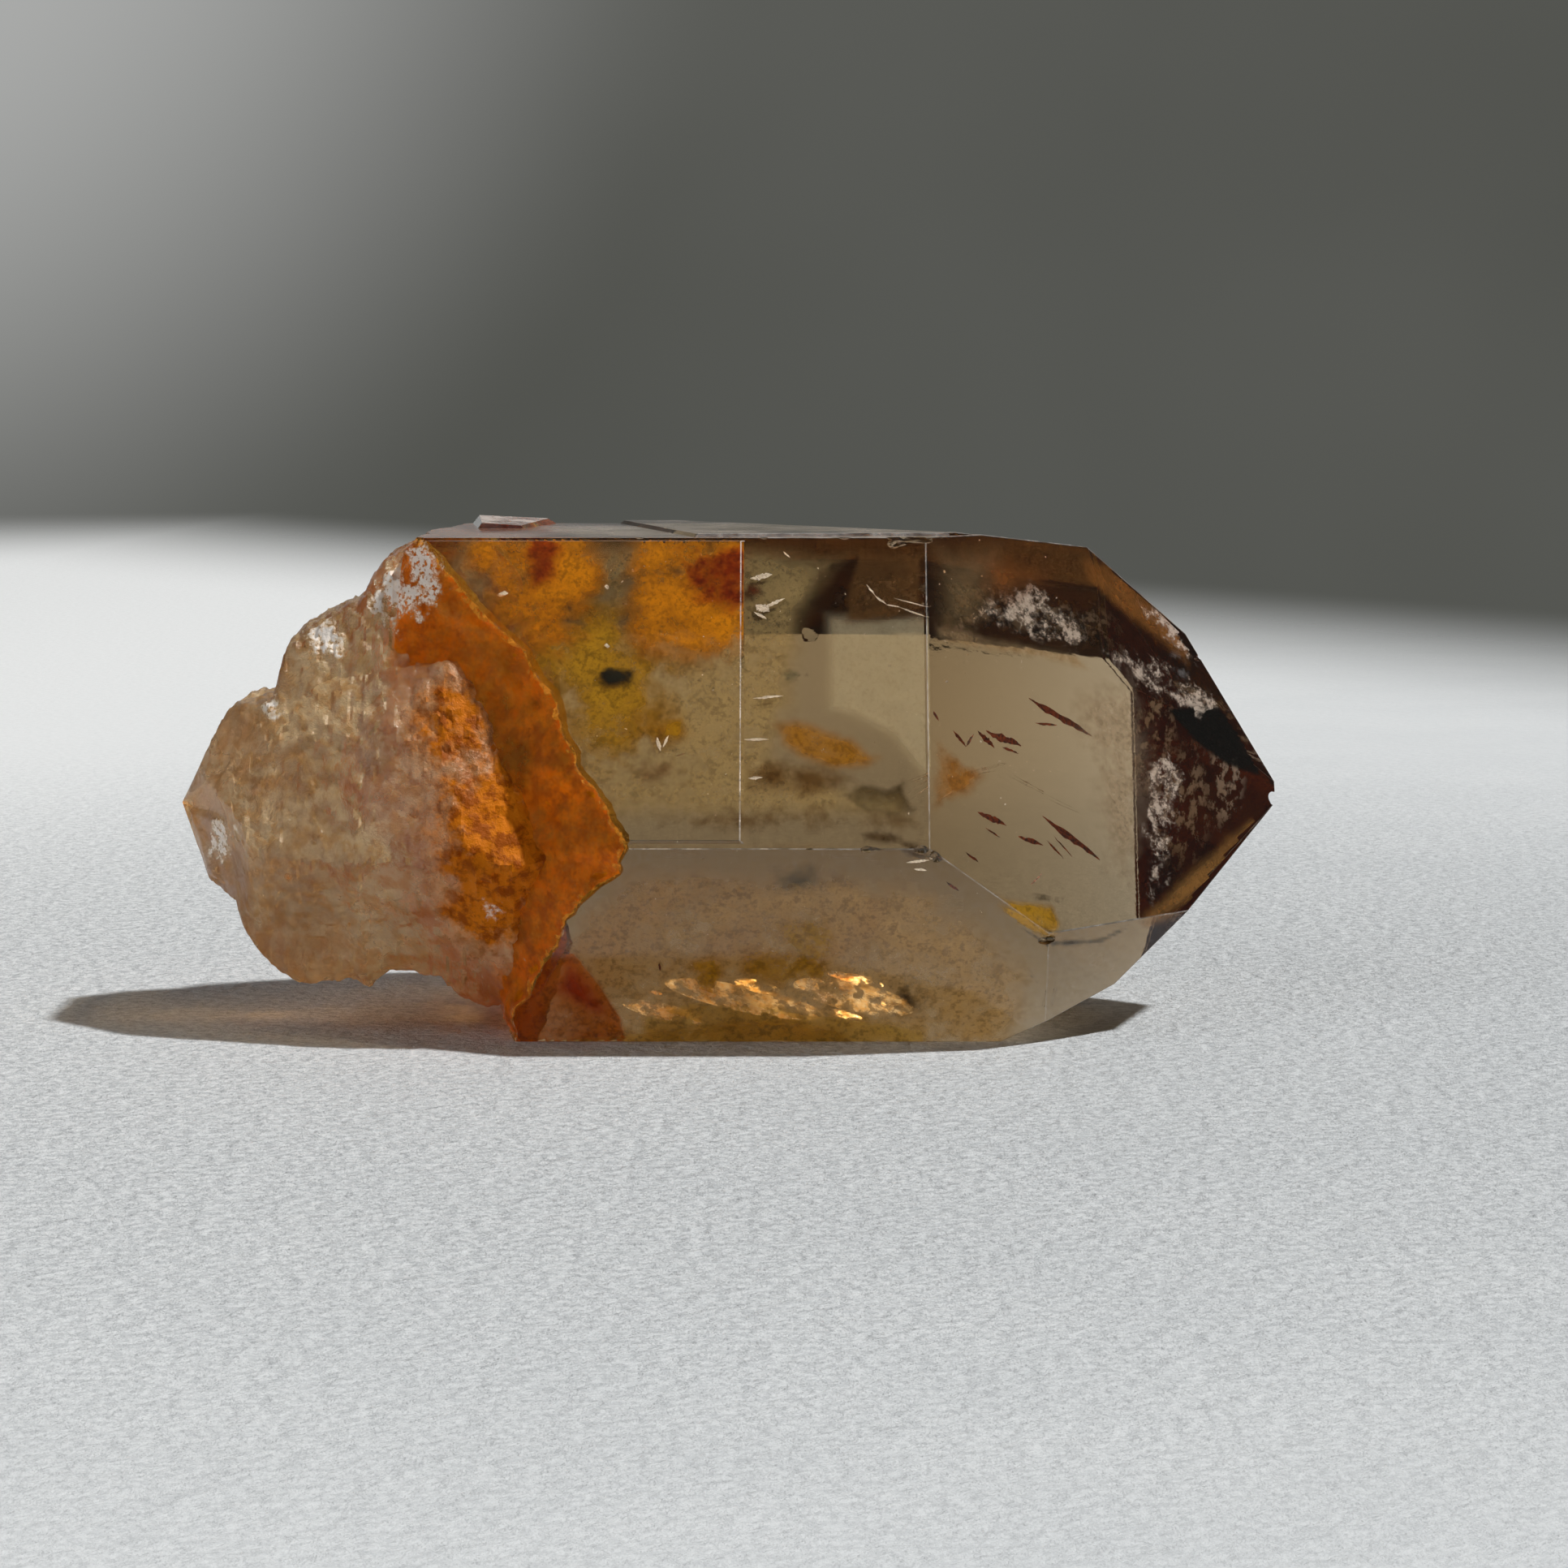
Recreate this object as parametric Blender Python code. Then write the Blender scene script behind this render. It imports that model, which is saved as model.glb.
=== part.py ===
"""Rough citrine: one natural quartz point, broken at its base and lying on a prism face."""

import itertools
import math
import random

import bmesh
import bpy
from mathutils import Vector, noise

MM = 0.001
SEED = 7

# Driving dimensions, mm. +X runs along the crystal's c axis to the tip, -Y is the front.
HEIGHT = 20.2
FRONT_RIDGE = (-11.0, 8.4)
BACK_RIDGE = (11.0, 12.2)
FRONT_SHOULDER_X = 7.9
BACK_SHOULDER_X = 14.1
TIP = (22.8, 2.354, 9.3)
STEP_X = 0.47
STEP_RISE = 0.12
LAYER_X = -3.2
LAYER_RISE = 0.14
BASE_END_X = -6.0
BASE_TIP_X = -22.66
BASE_STATIONS = 46
BASE_ANGLES = 48
CHIPS = 30
EDGE_SHARPNESS = 16
FRACTURE_ANGLES = 60
FRACTURE_RINGS = (0.0, 0.25, 0.45, 0.6, 0.72, 0.82, 0.9, 0.97, 1.04, 1.25)

# Slopes of the faces that close the point, degrees from the c axis.
FRONT_SLOPE = 37.0
LOWER_FRONT_SLOPE = 38.2
TOP_SLOPE = 41.3
BOTTOM_SLOPE = 42.9
# Low facet that narrows the top face towards the tip.
TOP_LEAN = (0.079, 0.1, 1.0)

# Broken rim where the clean faces stop: y, z, x of the rim, then how far the wall runs back per mm of depth.
RIM = (
    (-4.05, 20.4, -12.5, 1.2),
    (-5.3, 18.2, -10.6, 1.5),
    (-6.67, 15.9, -8.3, 1.6),
    (-7.74, 14.0, -6.75, 1.6),
    (-9.33, 11.3, -5.8, 1.6),
    (-10.4, 9.5, -4.4, 1.6),
    (-10.97, 8.4, -3.9, 1.6),
    (-10.4, 7.4, -4.1, 1.6),
    (-9.8, 6.4, -5.3, 1.5),
    (-9.0, 4.9, -6.6, 1.3),
    (-7.6, 2.5, -7.6, 0.9),
    (-7.0, 1.4, -8.5, 0.4),
    (-6.1, 0.0, -8.7, 0.3),
    (0.0, 0.0, -9.2, 0.3),
    (4.0, 0.0, -8.2, 0.8),
    (7.5, 6.1, -6.9, 1.4),
    (11.0, 12.2, -7.6, 1.5),
    (8.5, 16.2, -9.4, 1.4),
    (6.4, 20.2, -11.2, 1.2),
    (1.0, 20.2, -12.4, 1.0),
)

# Side outline of the broken base: x with the height of its top, and x with the height of its underside.
BASE_TOP = (
    (-22.66, 9.03),
    (-22.14, 10.04),
    (-21.11, 12.0),
    (-20.59, 12.94),
    (-20.09, 13.34),
    (-18.58, 13.68),
    (-18.4, 14.52),
    (-18.05, 15.86),
    (-17.38, 16.53),
    (-15.7, 17.43),
    (-15.03, 17.7),
    (-14.62, 18.63),
    (-14.01, 19.3),
    (-12.9, 19.9),
    (-12.0, 19.7),
    (-10.0, 19.2),
    (-6.0, 17.5),
)
BASE_UNDER = (
    (-22.66, 9.0),
    (-21.94, 7.18),
    (-21.45, 6.01),
    (-20.13, 5.17),
    (-19.98, 4.33),
    (-19.32, 3.32),
    (-18.5, 2.31),
    (-17.5, 1.81),
    (-15.5, 2.14),
    (-14.67, 1.81),
    (-13.83, 2.58),
    (-11.67, 2.41),
    (-11.4, 1.98),
    (-10.84, 1.4),
    (-10.0, 1.07),
    (-9.0, 1.1),
    (-7.8, 1.4),
    (-6.0, 3.0),
)
# Plan outline of the base along its middle: x with the front and the back of it.
BASE_FRONT = (
    (-22.66, -0.2),
    (-22.2, -2.2),
    (-21.2, -4.4),
    (-19.8, -6.3),
    (-18.0, -7.7),
    (-15.0, -8.9),
    (-12.0, -9.6),
    (-8.5, -9.9),
    (-6.0, -8.6),
)
BASE_BACK = (
    (-22.66, 0.2),
    (-22.2, 2.0),
    (-21.0, 4.3),
    (-19.5, 6.0),
    (-17.5, 7.6),
    (-14.0, 8.9),
    (-10.5, 9.8),
    (-8.5, 9.6),
    (-6.0, 8.4),
)


def unit(values):
    return Vector(values).normalized()


def face_normal(slope, turn):
    """Outward normal of a face at this slope from the c axis, turned about it from +Y towards +Z."""
    a = math.radians(slope)
    t = math.radians(turn)
    return Vector((math.sin(a), math.cos(a) * math.cos(t), math.cos(a) * math.sin(t)))


def face(normal, point, shift=0.0):
    return normal, normal.dot(Vector(point)) + shift


def outline_at(outline, x):
    if x <= outline[0][0]:
        return outline[0][1]
    for (x0, v0), (x1, v1) in zip(outline, outline[1:]):
        if x <= x1:
            return v0 + (v1 - v0) * (x - x0) / (x1 - x0)
    return outline[-1][1]


def mesh_object(name, points, polygons):
    mesh = bpy.data.meshes.new(name)
    mesh.from_pydata([Vector(p) * MM for p in points], [], polygons)
    bm = bmesh.new()
    bm.from_mesh(mesh)
    bmesh.ops.recalc_face_normals(bm, faces=bm.faces)
    bm.to_mesh(mesh)
    bm.free()
    obj = bpy.data.objects.new(name, mesh)
    bpy.context.scene.collection.objects.link(obj)
    return obj


def convex_solid(name, faces):
    """The closed solid behind all of these planes."""
    corners = []
    for (n1, d1), (n2, d2), (n3, d3) in itertools.combinations(faces, 3):
        across = n2.cross(n3)
        det = n1.dot(across)
        if abs(det) < 1e-6:
            continue
        p = (d1 * across + d2 * n3.cross(n1) + d3 * n1.cross(n2)) / det
        inside = all(n.dot(p) <= d + 1e-5 for n, d in faces)
        if inside and all((p - q).length > 1e-4 for q in corners):
            corners.append(p)
    bm = bmesh.new()
    for p in corners:
        bm.verts.new(p * MM)
    made = bmesh.ops.convex_hull(bm, input=bm.verts)
    spare = [v for v in made["geom_interior"] if isinstance(v, bmesh.types.BMVert)]
    bmesh.ops.delete(bm, geom=spare, context="VERTS")
    bmesh.ops.dissolve_limit(bm, angle_limit=0.001, verts=bm.verts, edges=bm.edges)
    bmesh.ops.recalc_face_normals(bm, faces=bm.faces)
    mesh = bpy.data.meshes.new(name)
    bm.to_mesh(mesh)
    bm.free()
    obj = bpy.data.objects.new(name, mesh)
    bpy.context.scene.collection.objects.link(obj)
    return obj


def prism_faces():
    """The six prism faces in turn: upper front, lower front, upper back, lower back, top and bottom."""
    front = (0.0, *FRONT_RIDGE)
    back = (0.0, *BACK_RIDGE)
    return [
        face(face_normal(0, 150), front),
        face(face_normal(0, 210), front),
        face(face_normal(0, 30), back),
        face(face_normal(0, -30), back),
        face(face_normal(0, 90), (0, 0, HEIGHT)),
        face(face_normal(0, -90), (0, 0, 0)),
    ]


def plane_through(p, q, r, outside):
    n = (Vector(q) - Vector(p)).cross(Vector(r) - Vector(p)).normalized()
    if n.dot(Vector(outside) - Vector(p)) < 0:
        n = -n
    return n, n.dot(Vector(p))


def point_faces():
    """The faces that close the crystal at its tip, and the low corner faces beside them."""
    tip = Vector(TIP)
    far = (60.0, 0.0, 10.0)
    upper_front = face(face_normal(FRONT_SLOPE, 150), (FRONT_SHOULDER_X, *FRONT_RIDGE))
    lower_back = plane_through(
        tip,
        (BACK_SHOULDER_X, *BACK_RIDGE),
        (BACK_SHOULDER_X, 3.958, 0.0),
        far,
    )
    return [
        upper_front,
        lower_back,
        face(face_normal(LOWER_FRONT_SLOPE, 210), (12.7, -8.71, 4.44)),
        face(face_normal(TOP_SLOPE, 90), (16.86, 0, 17.62)),
        face(face_normal(BOTTOM_SLOPE, -90), (22.0, 0, 8.1)),
        face(face_normal(44.0, 33), tip, 0.2),
        face(unit(TOP_LEAN), (14.1, -4.2, 20.1)),
        face(unit((0.43, -0.06, -0.9)), (10.9, -6.2, 0.0)),
        face(unit((0.62, 0.72, 0.3)), (14.0, 10.2, 11.8)),
    ]


def growth_solids():
    left = face(Vector((-1, 0, 0)), (-30, 0, 0))
    prism = prism_faces()
    body = convex_solid("body", prism + point_faces() + [left])
    rises = (STEP_RISE, -0.2, 0.08, 0.1, -0.12, -0.25)
    overgrown = [(n, d + rise) for (n, d), rise in zip(prism, rises)]
    riser = face(face_normal(38.2, 150), (STEP_X, *FRONT_RIDGE), STEP_RISE * 0.8)
    back_riser = face(face_normal(38.2, -30), (3.4, *BACK_RIDGE))
    under_riser = face(face_normal(38.2, 30), (5.2, *BACK_RIDGE))
    within = [(n, d - 0.15) for n, d in point_faces()[2:]]
    sleeve = convex_solid(
        "sleeve", overgrown + within + [riser, back_riser, under_riser, left]
    )
    layer = convex_solid(
        "layer",
        [
            face(face_normal(0, 90), (0, 0, HEIGHT + LAYER_RISE)),
            face(face_normal(0, -90), (0, 0, HEIGHT - 2.0)),
            face(face_normal(4, 150), (0, *FRONT_RIDGE), -0.25),
            face(face_normal(0, 30), (0, *BACK_RIDGE), -0.1),
            face(unit((-0.62, -0.2, 0.76)), (LAYER_X, 2.0, HEIGHT + LAYER_RISE)),
            face(unit(TOP_LEAN), (12.6, -4.2, 20.2)),
        ]
        + [(n, d - 0.12) for n, d in point_faces()[:6]],
    )
    crust = convex_solid(
        "crust",
        [
            face(unit((0.05, -0.04, 1)), (-9.0, 4.0, HEIGHT + 0.2)),
            face(unit((0, 0, -1)), (0, 0, HEIGHT - 1.6)),
            face(face_normal(0, 30), (0, *BACK_RIDGE), -0.12),
            face(unit((-0.8, -0.1, 0.6)), (-10.7, 4, HEIGHT)),
            face(unit((0.5, -0.15, 0.7)), (-8.1, 4, HEIGHT)),
            face(unit((-0.1, -0.8, 0.6)), (-9, 2.4, HEIGHT)),
        ],
    )
    return body, sleeve, layer, crust


def wrapped(table, angle):
    """Value of an angle table (radians, values) at an angle, joined round the full turn."""
    turn = 2 * math.pi
    angle = angle % turn
    for i, (a1, v1) in enumerate(table):
        if angle <= a1:
            break
    else:
        i = 0
        a1 = table[0][0] + turn
        v1 = table[0][1]
    a0, v0 = table[i - 1]
    if a0 > a1:
        a0 -= turn
    part = (angle - a0) / (a1 - a0)
    return [u + (v - u) * part for u, v in zip(v0, v1)]


def fracture_cutter():
    """Closed cutter whose right side is the broken wall, deepest to the left along the crystal's middle."""
    cy, cz = 0.0, HEIGHT / 2
    table = sorted(
        (math.atan2(z - cz, y - cy) % (2 * math.pi), (x, k)) for y, z, x, k in RIM
    )
    prism = prism_faces()
    points = []
    for ring in FRACTURE_RINGS[1:]:
        for i in range(FRACTURE_ANGLES):
            angle = 2 * math.pi * i / FRACTURE_ANGLES
            u = Vector((0, math.cos(angle), math.sin(angle)))
            middle = Vector((0, cy, cz))
            reach = min((d - n.dot(middle)) / n.dot(u) for n, d in prism if n.dot(u) > 1e-6)
            p = middle + u * (reach * ring)
            depth = min(d - n.dot(p) for n, d in prism)
            x_rim, k = wrapped(table, angle)
            rough = 0.35 * noise.fractal(p * 0.35 + Vector((3, 0, 0)), 1.0, 2.0, 4)
            x = x_rim - k * depth + rough
            points.append((max(x, -15.0 + 2.0 * ring), p.y, p.z))
    rings = len(FRACTURE_RINGS) - 1
    hub = len(points)
    points.append((-15.0, cy, cz))
    cap = len(points)
    for i in range(FRACTURE_ANGLES):
        y, z = points[(rings - 1) * FRACTURE_ANGLES + i][1:]
        points.append((-34.0, y, z))
    polygons = []
    for i in range(FRACTURE_ANGLES):
        j = (i + 1) % FRACTURE_ANGLES
        polygons.append((hub, i, j))
        for r in range(rings - 1):
            a = r * FRACTURE_ANGLES
            b = a + FRACTURE_ANGLES
            polygons.append((a + i, b + i, b + j, a + j))
        last = (rings - 1) * FRACTURE_ANGLES
        polygons.append((last + i, cap + i, cap + j, last + j))
    polygons.append(tuple(cap + i for i in range(FRACTURE_ANGLES)))
    cutter = mesh_object("fracture_cutter", points, polygons)
    return cutter


def chip_planes():
    """Flat breaks over the base: each is a plane a little inside the outline, facing mostly outward."""
    rng = random.Random(SEED)
    chips = []
    for _ in range(CHIPS):
        x = rng.uniform(-21.5, -9.0)
        side = rng.choice((rng.uniform(125, 235), rng.uniform(-55, 55)))
        angle = math.radians(side)
        middle, u, reach = smooth_reach(x, angle)
        near = smooth_reach(x - 0.5, angle)
        beside = smooth_reach(x, angle + 0.1)
        along = near[0] + near[1] * near[2] - middle - u * reach
        across = beside[0] + beside[1] * beside[2] - middle - u * reach
        n = across.cross(along).normalized()
        if n.dot(u) < 0:
            n = -n
        lean = Vector((rng.gauss(0, 0.14), rng.gauss(0, 0.14), rng.gauss(0, 0.14)))
        n = (n + lean).normalized()
        chips.append((n, n.dot(middle + u * reach) - rng.uniform(0.1, 0.55)))
    return chips


def smooth_reach(x, angle):
    """Middle of the base at x, and how far its outline lies from it in this direction."""
    top = outline_at(BASE_TOP, x)
    under = outline_at(BASE_UNDER, x)
    front = outline_at(BASE_FRONT, x)
    back = outline_at(BASE_BACK, x)
    middle = Vector((x, (front + back) / 2, (top + under) / 2))
    ridge = min(max(FRONT_RIDGE[1], under + 0.3), top - 0.3)
    rear = min(max(BACK_RIDGE[1], under + 0.3), top - 0.3)
    u = Vector((0, math.cos(angle), math.sin(angle)))
    sides = (
        (face_normal(0, 150), (x, front, ridge)),
        (face_normal(0, 210), (x, front, ridge)),
        (face_normal(0, 30), (x, back, rear)),
        (face_normal(0, -30), (x, back, rear)),
        (face_normal(0, 90), (x, 0, top)),
        (face_normal(0, -90), (x, 0, under)),
    )
    total = 0.0
    for n, p in sides:
        facing = n.dot(u)
        if facing > 0.02:
            total += (max(n.dot(Vector(p) - middle), 0.02) / facing) ** -EDGE_SHARPNESS
    return middle, u, total ** (-1 / EDGE_SHARPNESS)


def base_point(x, angle, chips):
    middle, u, reach = smooth_reach(x, angle)
    sideways = abs(math.cos(angle))
    least = reach - 1.2 * max(0.05, 1.6 * sideways - 0.6)
    for n, d in chips:
        facing = n.dot(u)
        if facing > 0.3:
            reach = min(reach, max((d - n.dot(middle)) / facing, least))
    p = middle + u * reach
    rough = noise.fractal(p * 0.42, 0.9, 2.0, 4)
    fade = min(1.0, (x - BASE_TIP_X) / 1.5)
    return p + u * ((0.1 + 0.3 * sideways) * rough * fade)


def base_solid():
    chips = chip_planes()
    points = [(BASE_TIP_X, 0.0, 9.02)]
    for s in range(BASE_STATIONS):
        part = (s + 1) / BASE_STATIONS
        x = BASE_TIP_X + (BASE_END_X - BASE_TIP_X) * part**1.15
        for i in range(BASE_ANGLES):
            angle = 2 * math.pi * i / BASE_ANGLES
            points.append(base_point(x, angle, chips))
    polygons = []
    for i in range(BASE_ANGLES):
        j = (i + 1) % BASE_ANGLES
        polygons.append((0, 1 + i, 1 + j))
        for s in range(BASE_STATIONS - 1):
            a = 1 + s * BASE_ANGLES
            b = a + BASE_ANGLES
            polygons.append((a + i, b + i, b + j))
            polygons.append((a + i, b + j, a + j))
    last = 1 + (BASE_STATIONS - 1) * BASE_ANGLES
    polygons.append(tuple(last + i for i in range(BASE_ANGLES)))
    return mesh_object("base", points, polygons)


def combine(target, other, operation):
    other.hide_render = True
    other.display_type = "WIRE"
    step = target.modifiers.new(operation.lower() + "_" + other.name, "BOOLEAN")
    step.operation = operation
    step.solver = "EXACT"
    step.object = other


def baked(obj):
    """Replaces the object's mesh with the one its modifiers make."""
    bpy.context.view_layer.update()
    graph = bpy.context.evaluated_depsgraph_get()
    mesh = bpy.data.meshes.new_from_object(obj.evaluated_get(graph))
    obj.modifiers.clear()
    obj.data = mesh
    return mesh


def centre(mesh):
    """Puts the middle of the outline's box over the origin and its underside on z = 0."""
    for axis in (0, 1):
        values = [v.co[axis] for v in mesh.vertices]
        shift = (min(values) + max(values)) / 2
        for v in mesh.vertices:
            v.co[axis] -= shift
    floor = min(v.co.z for v in mesh.vertices)
    for v in mesh.vertices:
        v.co.z -= floor


def citrine_material():
    material = bpy.data.materials.new("citrine")
    material.use_nodes = True
    shader = material.node_tree.nodes["Principled BSDF"]
    shader.inputs["Base Color"].default_value = (0.78, 0.6, 0.33, 1)
    shader.inputs["Roughness"].default_value = 0.06
    shader.inputs["IOR"].default_value = 1.544
    shader.inputs["Transmission Weight"].default_value = 1.0
    return material


for old in list(bpy.data.objects):
    bpy.data.objects.remove(old, do_unlink=True)

crystal, sleeve, layer, crust = growth_solids()
crystal.name = "citrine_crystal"
combine(crystal, sleeve, "UNION")
combine(crystal, layer, "UNION")
combine(crystal, crust, "UNION")
combine(crystal, fracture_cutter(), "DIFFERENCE")
combine(crystal, base_solid(), "UNION")
solid = baked(crystal)
centre(solid)
solid.materials.clear()
solid.materials.append(citrine_material())
for polygon in solid.polygons:
    polygon.material_index = 0
    polygon.use_smooth = False
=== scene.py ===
"""Rough citrine: the finish of the crystal, what is sealed in it, and the light it stands in."""

import itertools
import math
import random

import bmesh
import bpy
import numpy as np
from mathutils import Matrix, Vector, noise


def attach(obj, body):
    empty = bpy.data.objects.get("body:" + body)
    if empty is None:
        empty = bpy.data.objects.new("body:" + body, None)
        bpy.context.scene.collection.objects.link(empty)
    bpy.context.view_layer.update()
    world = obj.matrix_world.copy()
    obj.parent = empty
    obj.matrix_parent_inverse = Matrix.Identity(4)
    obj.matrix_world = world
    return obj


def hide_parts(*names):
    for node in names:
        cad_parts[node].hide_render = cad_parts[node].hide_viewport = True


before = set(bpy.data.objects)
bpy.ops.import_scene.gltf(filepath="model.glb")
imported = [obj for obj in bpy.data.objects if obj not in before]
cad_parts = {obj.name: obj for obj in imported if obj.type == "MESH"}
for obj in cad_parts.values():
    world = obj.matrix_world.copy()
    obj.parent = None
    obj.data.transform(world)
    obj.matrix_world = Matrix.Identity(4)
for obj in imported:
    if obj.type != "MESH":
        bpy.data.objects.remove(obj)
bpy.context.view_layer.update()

MM = 0.001
SEED = 7

# The crystal is laid out in mm, +X along its c axis to the tip and -Y towards the front.
# CENTRE is what then puts the middle of its box over the origin.
CENTRE = Vector((0.031, 0.052, 0.0))
HEIGHT = 20.2
# y and z of the long edges at the front and the back, and the x where each meets the tip's faces.
FRONT_RIDGE = (-11.0, 8.4)
BACK_RIDGE = (11.0, 12.2)
FRONT_SHOULDER_X = 7.9
BACK_SHOULDER_X = 14.1
TIP = (22.8, 2.354, 9.3)
# How steeply the tip's faces lean from the c axis, in degrees.
FRONT_SLOPE = 37.0
LOWER_FRONT_SLOPE = 38.2
TOP_SLOPE = 41.3
BOTTOM_SLOPE = 42.9
RISER_SLOPE = 38.2
TOP_LEAN = (0.079, 0.1, 1.0)

# The raised part of the prism, from the tip back to STEP_X, and how far each of its faces stands
# out, in the order that hexagon gives. A negative rise keeps that face under the prism's own.
STEP_X = 0.47
STEP_RISE = 0.12
SLEEVE_RISES = (STEP_RISE, -0.2, 0.08, 0.1, -0.12, -0.25)
# How far the raised part stops short of the tip's faces: of the lower back one, and of the others.
SHORT_OF_BACK = 0.02
SHORT_OF_TIP = 0.15
# The thin growth layer on top.
LAYER_X = -3.2
LAYER_RISE = 0.14
EDGE_WIDTH = 0.03
# Edges sharper than this many degrees stay sharp where the faces beside them are shaded smooth.
SHARP_ANGLE = 28
# Faces above this height belong to the loose crust on top.
CRUST_FROM_Z = 20.37

BASE_END_X = -6.0
BASE_TIP_X = -22.66
BASE_TIP_Z = 9.02
BASE_STATIONS = 150
BASE_ANGLES = 240
CHIPS = 30
SMALL_CHIPS = 200
# The higher, the sharper the base's long edges.
EDGE_SHARPNESS = 16
FRACTURE_ANGLES = 240
FRACTURE_RINGS = 44
# How far left the broken wall and its cutter reach.
WALL_END_X = -15.0
CUTTER_END_X = -34.0

CLEAN, WALL, BASE, CHIPPED = range(4)

# Broken rim where the clean faces stop: y, z, x of the rim, then how far the wall runs back per mm
# of depth.
RIM = (
    (-4.05, 20.4, -12.5, 1.2), (-5.3, 18.2, -10.6, 1.5), (-6.67, 15.9, -8.3, 1.6),
    (-7.74, 14.0, -6.75, 1.6), (-9.33, 11.3, -5.8, 1.6), (-10.4, 9.5, -4.4, 1.6),
    (-10.97, 8.4, -3.9, 1.6), (-10.4, 7.4, -4.1, 1.6), (-9.8, 6.4, -5.3, 1.5),
    (-9.0, 4.9, -6.6, 1.3), (-7.6, 2.5, -7.6, 0.9), (-7.0, 1.4, -8.5, 0.4), (-6.1, 0.0, -8.7, 0.3),
    (0.0, 0.0, -9.2, 0.3), (4.0, 0.0, -8.2, 0.8), (7.5, 6.1, -6.9, 1.4), (11.0, 12.2, -7.6, 1.5),
    (8.5, 16.2, -9.4, 1.4), (6.4, 20.2, -11.2, 1.2), (1.0, 20.2, -12.4, 1.0),
)
# The base's outline: x and z of its top and underside, x and y of its front and back.
BASE_TOP = (
    (-22.66, 9.03), (-22.14, 10.04), (-21.11, 12.0), (-20.59, 12.94), (-20.09, 13.34),
    (-18.58, 13.68), (-18.4, 14.52), (-18.05, 15.86), (-17.38, 16.53), (-15.7, 17.43),
    (-15.03, 17.7), (-14.62, 18.63), (-14.01, 19.3), (-12.9, 19.9), (-12.0, 19.7), (-10.0, 19.2),
    (-6.0, 17.5),
)
BASE_UNDER = (
    (-22.66, 9.0), (-21.94, 7.18), (-21.45, 6.01), (-20.13, 5.17), (-19.98, 4.33), (-19.32, 3.32),
    (-18.5, 2.31), (-17.5, 1.81), (-15.5, 2.14), (-14.67, 1.81), (-13.83, 2.58), (-11.67, 2.41),
    (-11.4, 1.98), (-10.84, 1.4), (-10.0, 1.07), (-9.0, 1.1), (-7.8, 1.4), (-6.0, 3.0),
)
BASE_FRONT = (
    (-22.66, -0.2), (-22.2, -2.2), (-21.2, -4.4), (-19.8, -6.3), (-18.0, -7.7), (-15.0, -8.9),
    (-12.0, -9.6), (-8.5, -9.9), (-6.0, -8.6),
)
BASE_BACK = (
    (-22.66, 0.2), (-22.2, 2.0), (-21.0, 4.3), (-19.5, 6.0), (-17.5, 7.6), (-14.0, 8.9),
    (-10.5, 9.8), (-8.5, 9.6), (-6.0, 8.4),
)


# ---------------------------------------------------------------- shapes


def unit(values):
    return Vector(values).normalized()


def across(angle):
    """Unit vector at this angle about the c axis, from +Y towards +Z."""
    return Vector((0, math.cos(angle), math.sin(angle)))


def full_turn(count):
    return [2 * math.pi * i / count for i in range(count)]


def face_normal(slope, turn):
    """Outward normal of a face at this slope from the c axis, turned from +Y towards +Z."""
    a = math.radians(slope)
    t = math.radians(turn)
    return Vector((math.sin(a), math.cos(a) * math.cos(t), math.cos(a) * math.sin(t)))


def face(normal, point, shift=0.0):
    return normal, normal.dot(Vector(point)) + shift


def outline_at(outline, x):
    return float(np.interp(x, *zip(*outline)))


def new_object(name, data):
    obj = bpy.data.objects.new(name, data)
    bpy.context.scene.collection.objects.link(obj)
    return obj


def from_bmesh(name, bm):
    mesh = bpy.data.meshes.new(name)
    bm.to_mesh(mesh)
    bm.free()
    return new_object(name, mesh)


def mesh_object(name, points, polygons):
    """A mesh object from points in mm."""
    mesh = bpy.data.meshes.new(name)
    mesh.from_pydata([(Vector(p) - CENTRE) * MM for p in points], [], polygons)
    return new_object(name, mesh)


def closed_object(name, points, polygons):
    """The same with all faces turned outward."""
    obj = mesh_object(name, points, polygons)
    bm = bmesh.new()
    bm.from_mesh(obj.data)
    bmesh.ops.recalc_face_normals(bm, faces=bm.faces)
    bm.to_mesh(obj.data)
    bm.free()
    return obj


def grid_quads(rows, count, first=0, joined=True):
    """Squares between rows of points stored one after another. Joined rows are closed rings."""
    quads = []
    for r in range(rows - 1):
        a = first + r * count
        for i in range(count if joined else count - 1):
            j = (i + 1) % count
            quads.append((a + i, a + j, a + count + j, a + count + i))
    return quads


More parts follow.
